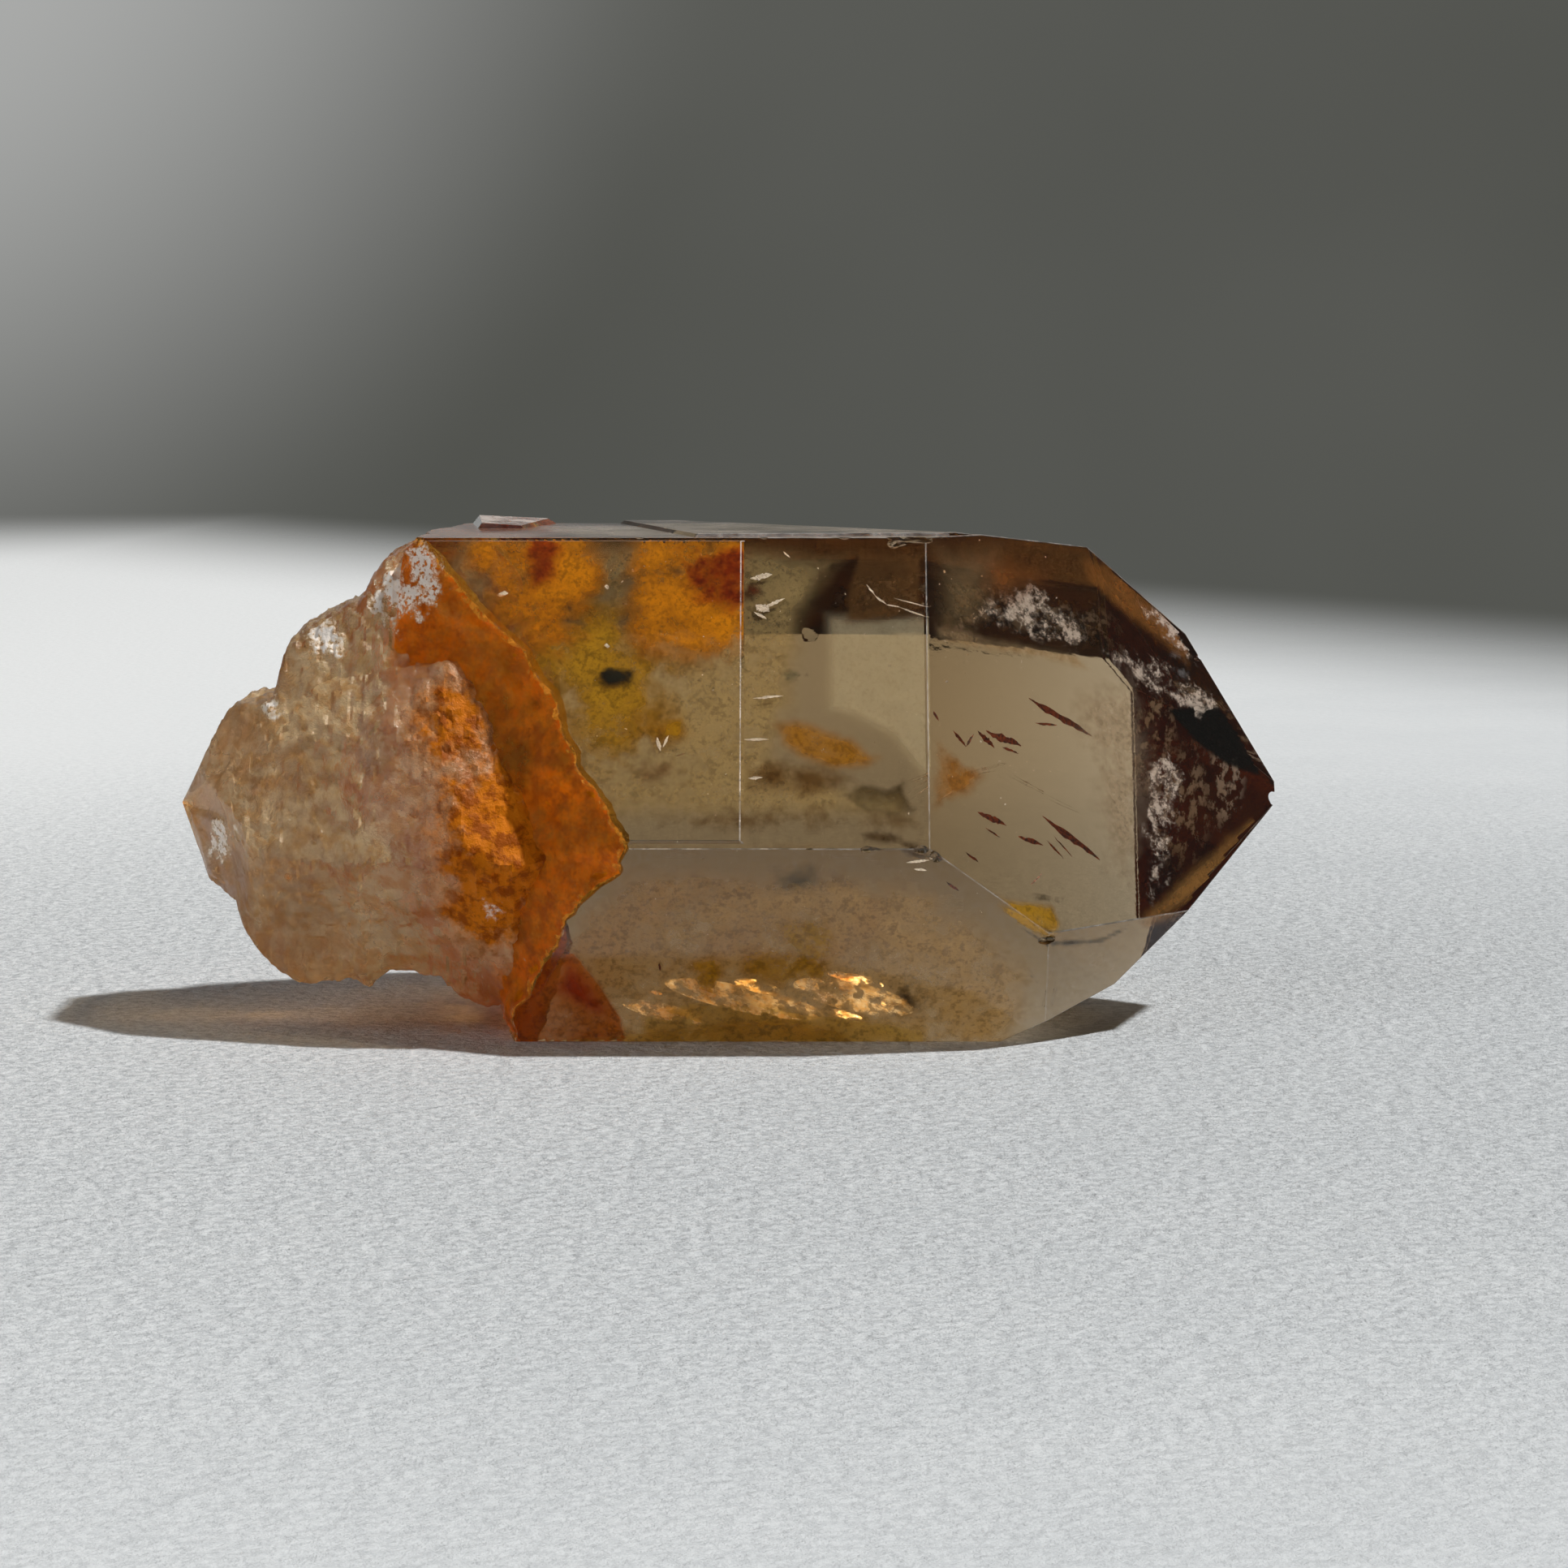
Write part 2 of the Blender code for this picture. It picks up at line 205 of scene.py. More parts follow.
def convex_solid(name, faces):
    """The closed solid behind all of these planes, with its edges worn a little."""
    corners = []
    for (n1, d1), (n2, d2), (n3, d3) in itertools.combinations(faces, 3):
        det = n1.dot(n2.cross(n3))
        if abs(det) < 1e-6:
            continue
        p = (d1 * n2.cross(n3) + d2 * n3.cross(n1) + d3 * n1.cross(n2)) / det
        inside = all(n.dot(p) <= d + 1e-5 for n, d in faces)
        if inside and all((p - q).length > 1e-4 for q in corners):
            corners.append(p)
    bm = bmesh.new()
    for p in corners:
        bm.verts.new((p - CENTRE) * MM)
    made = bmesh.ops.convex_hull(bm, input=bm.verts)
    spare = [v for v in made["geom_interior"] if isinstance(v, bmesh.types.BMVert)]
    bmesh.ops.delete(bm, geom=spare, context="VERTS")
    bmesh.ops.dissolve_limit(bm, angle_limit=0.001, verts=bm.verts, edges=bm.edges)
    bmesh.ops.recalc_face_normals(bm, faces=bm.faces)
    bmesh.ops.bevel(
        bm,
        geom=list(bm.edges),
        offset=EDGE_WIDTH * MM,
        segments=2,
        profile=0.6,
        affect="EDGES",
        clamp_overlap=True,
    )
    return from_bmesh(name, bm)


def hexagon(x, front, back, under, top):
    """A prism's faces: upper front, lower front, upper back, lower back, top and bottom."""
    front, back = (x, *front), (x, *back)
    top, under = (x, 0, top), (x, 0, under)
    sides = (150, front), (210, front), (30, back), (-30, back), (90, top), (-90, under)
    return [face(face_normal(0, turn), point) for turn, point in sides]


def prism_faces():
    return hexagon(0.0, FRONT_RIDGE, BACK_RIDGE, 0.0, HEIGHT)


def plane_through(p, q, r, outside):
    p = Vector(p)
    n = (Vector(q) - p).cross(Vector(r) - p).normalized()
    if n.dot(Vector(outside) - p) < 0:
        n = -n
    return n, n.dot(p)


def point_faces():
    """The faces that close the crystal at its tip, and the low corner faces beside them."""
    beyond = (60.0, 0.0, 10.0)
    low_shoulder = (BACK_SHOULDER_X, 3.958, 0.0)
    return [
        face(face_normal(FRONT_SLOPE, 150), (FRONT_SHOULDER_X, *FRONT_RIDGE)),
        plane_through(TIP, (BACK_SHOULDER_X, *BACK_RIDGE), low_shoulder, beyond),
        face(face_normal(LOWER_FRONT_SLOPE, 210), (12.7, -8.71, 4.44)),
        face(face_normal(TOP_SLOPE, 90), (16.86, 0, 17.62)),
        face(face_normal(BOTTOM_SLOPE, -90), (22.0, 0, 8.1)),
        face(face_normal(44.0, 33), TIP, 0.2),
        face(unit(TOP_LEAN), (14.1, -4.2, 20.1)),
        face(unit((0.43, -0.06, -0.9)), (10.9, -6.2, 0.0)),
        face(unit((0.62, 0.72, 0.3)), (14.0, 10.2, 11.8)),
    ]


def growth_solids():
    """The prism, its raised part, the thin layer on its top, and the loose crust on that."""
    left = face(Vector((-1, 0, 0)), (-30, 0, 0))
    prism = prism_faces()
    body = convex_solid("body", prism + point_faces() + [left])

    overgrown = [(n, d + rise) for (n, d), rise in zip(prism, SLEEVE_RISES)]
    riser = face(face_normal(RISER_SLOPE, 150), (STEP_X, *FRONT_RIDGE), STEP_RISE * 0.8)
    within = [(n, d - SHORT_OF_TIP) for n, d in point_faces()[2:]]
    n, d = point_faces()[1]
    sleeve = convex_solid("sleeve", overgrown + [(n, d - SHORT_OF_BACK)] + within + [riser, left])

    layer = convex_solid(
        "layer",
        [
            face(face_normal(0, 90), (0, 0, HEIGHT + LAYER_RISE)),
            face(face_normal(0, -90), (0, 0, HEIGHT - 2.0)),
            face(face_normal(4, 150), (0, *FRONT_RIDGE), -0.25),
            face(face_normal(0, 30), (0, *BACK_RIDGE), -0.1),
            face(unit((-0.62, -0.2, 0.76)), (LAYER_X, 2.0, HEIGHT + LAYER_RISE)),
            face(unit(TOP_LEAN), (12.6, -4.2, 20.2)),
        ]
        + [(n, d - 0.12) for n, d in point_faces()[:6]],
    )
    crust = convex_solid(
        "crust",
        [
            face(unit((0.05, -0.04, 1)), (-9.0, 4.0, HEIGHT + 0.2)),
            face(unit((0, 0, -1)), (0, 0, HEIGHT - 1.6)),
            face(face_normal(0, 30), (0, *BACK_RIDGE), -0.12),
            face(unit((-0.8, -0.1, 0.6)), (-10.7, 4, HEIGHT)),
            face(unit((0.5, -0.15, 0.7)), (-8.1, 4, HEIGHT)),
            face(unit((-0.1, -0.8, 0.6)), (-9, 2.4, HEIGHT)),
        ],
    )
    return body, sleeve, layer, crust


def rim_table():
    """Angle about the crystal's middle, rim x and wall slope, as arrays joined round the turn."""
    turn = 2 * math.pi
    rows = sorted((math.atan2(z - HEIGHT / 2, y) % turn, x, slope) for y, z, x, slope in RIM)
    first = (rows[0][0] + turn, *rows[0][1:])
    last = (rows[-1][0] - turn, *rows[-1][1:])
    return np.array([last, *rows, first]).T


def wall_point(angle, ring, table, prism):
    """A point of the broken wall: ring is 0 at the crystal's middle and 1 on its faces."""
    u = across(angle)
    middle = Vector((0, 0, HEIGHT / 2))
    reach = min((d - n.dot(middle)) / n.dot(u) for n, d in prism if n.dot(u) > 1e-6)
    p = middle + u * (reach * ring)
    depth = min(d - n.dot(p) for n, d in prism)
    x_rim = float(np.interp(angle, table[0], table[1]))
    slope = float(np.interp(angle, table[0], table[2]))
    rough = 0.35 * noise.fractal(p * 0.35 + Vector((3, 0, 0)), 1.0, 2.0, 4)
    fine = 0.16 * noise.fractal(p * 1.7 + Vector((9, 4, 0)), 0.8, 2.1, 5)
    arcs = 0.07 * math.sin(depth * 7.5 + 2.2 * noise.noise(p * 0.5))
    arcs *= min(1.0, max(0.0, depth) * 2.0)
    x = x_rim - slope * depth + rough + fine + arcs
    return Vector((max(x, WALL_END_X + 2.0 * ring), p.y, p.z))


def fracture_cutter():
    """Closed cutter whose right side is the broken wall, deepest along the crystal's middle."""
    table, prism, count = rim_table(), prism_faces(), FRACTURE_ANGLES
    # Rings crowd together near the faces, where the wall shows.
    steps = np.linspace(0.0, 1.0, FRACTURE_RINGS + 1)[1:]
    rings = [*(1.0 - (1.0 - steps) ** 1.6), 1.03, 1.25]
    rings[-3] = 0.997
    points = [wall_point(a, ring, table, prism) for ring in rings for a in full_turn(count)]
    points += [(CUTTER_END_X, p.y, p.z) for p in points[-count:]]
    hub = len(points)
    points.append((WALL_END_X, 0.0, HEIGHT / 2))
    polygons = grid_quads(len(rings) + 1, count)
    polygons += [(hub, i, (i + 1) % count) for i in range(count)]
    polygons.append(tuple(range(hub - count, hub)))
    return closed_object("fracture_cutter", points, polygons)


def smooth_reach(x, angle):
    """Middle of the base at x, this direction, and how far the base's outline lies that way."""
    outlines = (BASE_TOP, BASE_UNDER, BASE_FRONT, BASE_BACK)
    top, under, front, back = (outline_at(outline, x) for outline in outlines)
    middle = Vector((x, (front + back) / 2, (top + under) / 2))
    ridge, rear = (
        min(max(z, under + 0.3), top - 0.3) for z in (FRONT_RIDGE[1], BACK_RIDGE[1])
    )
    u = across(angle)
    total = 0.0
    for n, d in hexagon(x, (front, ridge), (back, rear), under, top):
        facing = n.dot(u)
        if facing > 0.02:
            total += (max(d - n.dot(middle), 0.02) / facing) ** -EDGE_SHARPNESS
    return middle, u, total ** (-1 / EDGE_SHARPNESS)


def smooth_point(x, angle):
    middle, u, reach = smooth_reach(x, angle)
    return middle + u * reach


def chip_planes(count, rng, deepest, lean):
    """Flat breaks over the base: planes a little inside the outline, facing mostly outward."""
    chips = []
    for _ in range(count):
        x = rng.uniform(-21.5, -9.0)
        side = rng.choice((rng.uniform(125, 235), rng.uniform(-55, 55)))
        angle = math.radians(side)
        p = smooth_point(x, angle)
        along = smooth_point(x - 0.5, angle) - p
        n = (smooth_point(x, angle + 0.1) - p).cross(along).normalized()
        if n.dot(across(angle)) < 0:
            n = -n
        n = (n + Vector([rng.gauss(0, lean) for _ in range(3)])).normalized()
        chips.append((n, n.dot(p) - rng.uniform(0.1, deepest)))
    return chips


# Curved ripple marks left by the break: centre of the rings, spacing, height, middle and reach of
# the marked area.
RIPPLES = (
    ((-12.0, -4.0, -16.0), 0.5, 0.05, (-14.2, -7.5, 4.0), 4.0),
    ((-24.0, -12.0, 22.0), 0.62, 0.045, (-17.5, -6.5, 11.5), 3.2),
    ((-6.0, -14.0, 24.0), 0.7, 0.05, (-12.5, -7.5, 14.5), 3.4),
    ((-14.0, 12.0, -8.0), 0.55, 0.05, (-14.0, 7.5, 6.0), 5.0),
)
# Crumbled places: middle, reach and height of the crumbs.
CRUMBLED = (
    ((-13.6, -4.0, 18.3), 3.0, 0.42), ((-16.6, -3.0, 16.4), 2.4, 0.3),
    ((-10.6, -6.6, 1.6), 1.8, 0.3), ((-18.2, -5.0, 13.6), 1.6, 0.22),
    ((-14.5, 4.5, 17.5), 3.0, 0.35),
)


def fade_from(p, middle, reach):
    d = (p - Vector(middle)).length / reach
    return max(0.0, 1.0 - d * d)


def base_point(x, angle, chips, small):
    middle, u, reach = smooth_reach(x, angle)
    sideways = abs(math.cos(angle))
    room = max(0.05, 1.6 * sideways - 0.6)
    for planes, deepest in ((chips, 1.2), (small, 0.3)):
        least = reach - deepest * room
        for n, d in planes:
            facing = n.dot(u)
            if facing > 0.3:
                reach = min(reach, max((d - n.dot(middle)) / facing, least))
    p = middle + u * reach
    shift = (0.05 + 0.1 * sideways) * noise.fractal(p * 0.42, 0.9, 2.0, 4)
    shift += 0.1 * noise.fractal(p * 1.9, 0.6, 2.2, 6)
    shift += 0.07 * (noise.cell(p * 1.5) - 0.5)
    for rings, spacing, height, place, extent in RIPPLES:
        near = fade_from(p, place, extent)
        if near > 0:
            far = (p - Vector(rings)).length + 0.3 * noise.noise(p * 0.6)
            shift += height * near * (math.sin(2 * math.pi * far / spacing) - 0.4)
    for place, extent, height in CRUMBLED:
        near = fade_from(p, place, extent)
        if near > 0:
            cell = noise.cell(p * 3.0) - 0.75
            lump = noise.voronoi(p * 2.3)[0][0] - 0.45
            shift += near * height * (0.35 * cell - 0.9 * lump)
    return p + u * (shift * min(1.0, (x - BASE_TIP_X) / 1.5))


def base_solid():
    rng = random.Random(SEED)
    chips = chip_planes(CHIPS, rng, 0.35, 0.1)
    small = chip_planes(SMALL_CHIPS, rng, 0.22, 0.3)
    points = [(BASE_TIP_X, 0.0, BASE_TIP_Z)]
    for s in range(BASE_STATIONS):
        part = (s + 1) / BASE_STATIONS
        x = BASE_TIP_X + (BASE_END_X - BASE_TIP_X) * part**1.1
        points += [base_point(x, angle, chips, small) for angle in full_turn(BASE_ANGLES)]
    polygons = [(0, 1 + i, 1 + (i + 1) % BASE_ANGLES) for i in range(BASE_ANGLES)]
    polygons += grid_quads(BASE_STATIONS, BASE_ANGLES, 1)
    polygons.append(tuple(range(len(points) - BASE_ANGLES, len(points))))
    return closed_object("base", points, polygons)


# Places along the edges where bits have flaked off: middle, and half length, width and depth of
# the flake.
EDGE_FLAKES = (
    ((7.6, -4.2, 20.25), (1.25, 0.42, 0.26)), ((6.7, -4.5, 20.0), (0.5, 0.35, 0.22)),
    ((9.0, -3.9, 20.2), (0.7, 0.3, 0.18)), ((8.15, -10.95, 7.95), (0.4, 0.3, 0.35)),
    ((7.6, -11.05, 8.35), (0.3, 0.2, 0.25)), ((5.6, -11.05, 8.4), (0.5, 0.16, 0.16)),
    ((3.1, -11.1, 8.4), (0.3, 0.12, 0.12)), ((-3.6, -4.3, 20.25), (0.3, 0.2, 0.12)),
    ((1.4, -4.25, 20.25), (0.22, 0.16, 0.12)), ((4.6, -4.25, 20.25), (0.3, 0.18, 0.12)),
    ((11.2, -2.6, 20.1), (0.3, 0.22, 0.14)), ((22.65, 2.3, 8.9), (0.3, 0.5, 0.35)),
    ((16.4, 1.0, 18.1), (0.35, 0.4, 0.16)), ((18.2, 1.9, 16.5), (0.3, 0.35, 0.2)),
    ((19.6, 2.6, 14.8), (0.3, 0.3, 0.16)), ((20.9, 2.4, 12.6), (0.3, 0.3, 0.14)),
    ((12.7, -8.75, 4.5), (0.4, 0.3, 0.2)), ((12.2, -6.2, 0.2), (0.9, 0.3, 0.25)),
    ((14.2, 11.0, 12.2), (0.5, 0.3, 0.4)), ((3.3, 11.1, 12.2), (0.4, 0.2, 0.5)),
    ((-2.0, 11.15, 12.2), (0.7, 0.18, 0.3)), ((10.4, 6.3, 20.1), (0.6, 0.3, 0.2)),
)


def flake_cutter(place, size, rng):
    """A lumpy lens that takes one flake off an edge."""
    bm = bmesh.new()
    turn = Matrix.Rotation(rng.uniform(-0.35, 0.35), 4, "Z")
    grow = Matrix.Diagonal((*size, 1.0))
    made = bmesh.ops.create_icosphere(bm, subdivisions=3, radius=1.0, matrix=turn @ grow)
    for v in made["verts"]:
        far = noise.noise((v.co + Vector(place)) * 2.3)
        near = noise.noise((v.co + Vector(place)) * 7.0)
        v.co = (v.co * (1.0 + 0.35 * far + 0.1 * near) + Vector(place) - CENTRE) * MM
    return from_bmesh("flake", bm)


def mark_region(obj, region):
    """Notes each face's region as its material number, which outlives the cuts."""
    while len(obj.data.materials) < 4:
        obj.data.materials.append(bpy.data.materials.new("region"))
    numbers = np.full(len(obj.data.polygons), region, np.int32)
    obj.data.polygons.foreach_set("material_index", numbers)


def combine(target, other, operation):
    step = target.modifiers.new("step", "BOOLEAN")
    step.operation = operation
    step.solver = "EXACT"
    step.object = other
    bpy.context.view_layer.update()
    graph = bpy.context.evaluated_depsgraph_get()
    mesh = bpy.data.meshes.new_from_object(target.evaluated_get(graph))
    target.modifiers.clear()
    target.data = mesh
    bpy.data.objects.remove(other, do_unlink=True)


def build_shell():
    crystal, sleeve, layer, crust = growth_solids()
    cutter = fracture_cutter()
    base = base_solid()
    for obj in (crystal, sleeve, layer, crust):
        mark_region(obj, CLEAN)
    mark_region(cutter, WALL)
    mark_region(base, BASE)
    for obj in (sleeve, layer, crust):
        combine(crystal, obj, "UNION")
    rng = random.Random(SEED + 1)
    for place, size in EDGE_FLAKES:
        flake = flake_cutter(place, size, rng)
        mark_region(flake, CHIPPED)
        combine(crystal, flake, "DIFFERENCE")
    combine(crystal, cutter, "DIFFERENCE")
    combine(crystal, base, "UNION")
    return crystal


def keep(mesh, name, kind, domain, values):
    """Keeps these values on the mesh under this name, for its material to read."""
    key = {"FLOAT": "value", "FLOAT_VECTOR": "vector", "FLOAT_COLOR": "color"}[kind]
    made = mesh.attributes.new(name, kind, domain)
    made.data.foreach_set(key, np.asarray(values, np.float32).ravel())


def edge_wear(centre, main):
    """How whitened a narrow face is: most on the growth step, least on the raised part's rim."""
    if centre.z / MM > CRUST_FROM_Z:
        return 0.9
    if main:
        return 0.0
    x = centre.x / MM + CENTRE.x
    if abs(x - STEP_X) < 0.4:
        return 1.0
    return 0.1 if x < STEP_X else 0.6


def set_regions(shell):
    """Keeps each face's kind: which break it belongs to, and if it's a worn edge or a dusty top."""
    mesh = shell.data
    kind = np.empty(len(mesh.polygons), np.int32)
    mesh.polygons.foreach_get("material_index", kind)
    regions = [kind == WALL, kind == BASE, kind == CHIPPED, kind >= 0]
    keep(mesh, "region", "FLOAT_COLOR", "FACE", np.stack(regions, axis=1))

    mains = [n for n, _ in prism_faces() + point_faces()]
    wear = np.zeros((len(kind), 3))
    for i, polygon in enumerate(mesh.polygons):
        if kind[i] == CLEAN:
            main = any(polygon.normal.dot(n) > 0.9995 for n in mains)
            wear[i, :2] = edge_wear(polygon.center, main), polygon.normal.z > 0.97
    keep(mesh, "wear", "FLOAT_VECTOR", "FACE", wear)

    mesh.materials.clear()
    mesh.polygons.foreach_set("material_index", np.zeros(len(kind), np.int32))
    mesh.set_sharp_from_angle(angle=math.radians(SHARP_ANGLE))
    mesh.polygons.foreach_set("use_smooth", (kind == BASE) | (kind == WALL))


# ---------------------------------------------------------------- materials


def rgb(r, g, b):
    """A display colour of 0 to 255 as the linear colour a shader takes."""
    out = []
    for value in (r, g, b):
        value /= 255
        out.append(value / 12.92 if value <= 0.04045 else ((value + 0.055) / 1.055) ** 2.4)
    return (*out, 1.0)


WHITE = (1.0, 1.0, 1.0, 1.0)


class Graph:
    """Short calls for building the nodes of a material or of the world.

    An input goes by its label, with _ for a space, or by its number after a _.
    """

    def __init__(self, owner, output="OutputMaterial"):
        owner.use_nodes = True
        self.owner = owner
        self.tree = owner.node_tree
        self.tree.nodes.clear()
        self.output = self.add(output)

    def add(self, kind, settings=None, **inputs):
        made = self.tree.nodes.new("ShaderNode" + kind)
        for key, value in (settings or {}).items():
            setattr(made, key, value)
        for key, value in inputs.items():
            socket = made.inputs[int(key[1:]) if key[0] == "_" else key.replace("_", " ")]
            if isinstance(value, bpy.types.Node):
                value = value.outputs[0]
            if isinstance(value, bpy.types.NodeSocket):
                self.tree.links.new(value, socket)
            else:
                socket.default_value = value
        return made

    def math(self, operation, *values, clamp=False):
        """The values joined by this operation, from the left."""
        total = values[0]
        settings = {"operation": operation, "use_clamp": clamp}
        for value in values[1:]:
            total = self.add("Math", settings, _0=total, _1=value).outputs[0]
        return total

    def times(self, *values):
        return self.math("MULTIPLY", *values)

    def plus(self, *values):
        return self.math("ADD", *values)

    def swing(self, value, gain):
        """A noise value as a swing either way from its middle."""
        return self.times(self.math("SUBTRACT", value, 0.5), gain)

    def vector(self, operation, a, b=(0.0, 0.0, 0.0), output=0):
        return self.add("VectorMath", {"operation": operation}, _0=a, _1=b).outputs[output]

    def size(self, operation, a, b=(0.0, 0.0, 0.0)):
        """The same where the answer is a number."""
        return self.vector(operation, a, b, output=1)

    def place(self):
        """Position in the crystal's own millimetres."""
        where = self.add("TexCoord").outputs["Object"]
        return self.vector("ADD", self.vector("MULTIPLY", where, (1 / MM,) * 3), CENTRE)

    def kept(self, name, output="Vector"):
        """What keep() stored on the mesh under this name."""
        return self.add("Attribute", {"attribute_name": name}).outputs[output]

    def noise(self, vector, scale, detail=4.0, rough=0.55):
        made = self.add(
            "TexNoise", None, Vector=vector, Scale=scale, Detail=detail, Roughness=rough
        )
        return made.outputs["Fac"]

    def ramp(self, value, low, high, to_low=0.0, to_high=1.0, smooth=True):
        settings = {"interpolation_type": "SMOOTHSTEP" if smooth else "LINEAR"}
        made = self.add("MapRange", settings, _0=value, _1=low, _2=high, _3=to_low, _4=to_high)
        return made.outputs[0]

    def spots(self, vector, table, inner=0.4):
        """1 near any place of the table, falling to 0 at its reach, which differs along each axis."""
        total = 0.0
        for place, reach in table:
            share = self.vector("DIVIDE", self.vector("SUBTRACT", vector, place), reach)
            near = self.ramp(self.size("LENGTH", share), inner, 1.0, 1.0, 0.0)
            total = self.math("MAXIMUM", total, near)
        return total

    def mix(self, factor, a, b):
        return self.add("Mix", {"data_type": "RGBA"}, _0=factor, _6=a, _7=b).outputs[2]

    def bump(self, height, distance, strength=1.0):
        return self.add("Bump", None, Height=height, Distance=distance, Strength=strength)

    def surface(self, colour, rough, **inputs):
        return self.add("BsdfPrincipled", None, Base_Color=colour, Roughness=rough, **inputs)

    def blend(self, share, a, b):
        return self.add("MixShader", None, _0=share, _1=a, _2=b)

    def leaf(self, share, colour, rough, **inputs):
        """A surface that also lets this share of the light glow through it."""
        behind = self.add("BsdfTranslucent", None, Color=colour)
        return self.blend(share, self.surface(colour, rough, **inputs), behind)

    def finish(self, shader):
        self.tree.links.new(shader.outputs[0], self.output.inputs[0])
        return self.owner

    def cover(self, share, shader, passed=WHITE):
        """Ends the material: this share of it is the shader, the rest lets light straight on."""
        clear = self.add("BsdfTransparent", None, Color=passed)
        return self.finish(self.blend(share, clear, shader))


def material_graph(name):
    return Graph(bpy.data.materials.new(name))


IOR = 1.544
ABSORBED = (0.57, 0.42, 0.16, 1.0)
ABSORPTION = 150.0
# What of the lamps' light gets through a face: to what is sealed inside, and on to the floor
# under the clear faces or under the base.
LIGHT_OUT = (0.92, 0.87, 0.79, 1.0)
LIGHT_IN = (0.045, 0.035, 0.02, 1.0)
BASE_LIGHT_IN = (0.19, 0.17, 0.145, 1.0)
RUST_SHINE = rgb(210, 124, 36)

# Middle and reach in mm of frosted places on the faces behind the tip, of milky, crumbled places
# on the base, and of rust in the skin of the base.
FROST = (
    ((17.5, 6.5, 6.5), (3.0, 3.0, 4.0)), ((19.6, 4.6, 9.0), (1.8, 2.0, 3.2)),
    ((15.4, 8.8, 9.0), (2.2, 2.4, 4.0)), ((8.5, 9.9, 14.2), (5.0, 1.6, 1.7)),
    ((12.6, 9.0, 13.6), (2.2, 2.4, 1.8)), ((17.4, -0.4, 17.2), (1.6, 1.4, 1.2)),
    ((19.2, 1.2, 15.2), (1.2, 1.2, 1.6)),
)
MILKY = (
    ((-12.4, -4.6, 19.0), (2.6, 4.0, 2.4)), ((-13.6, -4.4, 18.0), (3.6, 4.4, 2.6)),
    ((-16.4, -4.0, 16.0), (2.4, 3.6, 1.8)), ((-18.6, -4.5, 13.6), (1.8, 3.0, 1.5)),
    ((-16.9, -7.4, 11.0), (2.0, 2.4, 2.2)), ((-9.7, -8.6, 11.6), (1.3, 2.0, 0.6)),
    ((-10.8, -8.0, 14.4), (0.6, 2.0, 0.7)), ((-21.0, -3.5, 7.8), (1.8, 3.0, 2.4)),
    ((-9.4, -8.8, 5.6), (1.4, 2.0, 1.2)), ((-10.4, -7.4, 2.4), (1.4, 2.0, 1.0)),
)
RUSTY = (
    ((-18.6, -6.8, 12.2), (0.9, 2.4, 0.5)), ((-17.2, -7.4, 12.4), (0.8, 2.0, 0.4)),
    ((-15.6, -7.8, 12.2), (1.4, 2.0, 0.5)), ((-15.0, -7.8, 11.0), (0.9, 2.0, 1.2)),
    ((-17.7, -7.0, 6.6), (0.45, 2.0, 0.6)), ((-8.8, -8.8, 9.0), (5.4, 6.0, 8.0)),
    ((-10.8, -8.2, 13.4), (4.4, 5.0, 4.2)), ((-9.6, -8.2, 5.6), (3.6, 5.0, 4.0)),
    ((-12.2, -6.8, 17.0), (1.6, 2.4, 1.2)), ((-8.0, -8.8, 3.0), (0.9, 2.0, 1.0)),
)


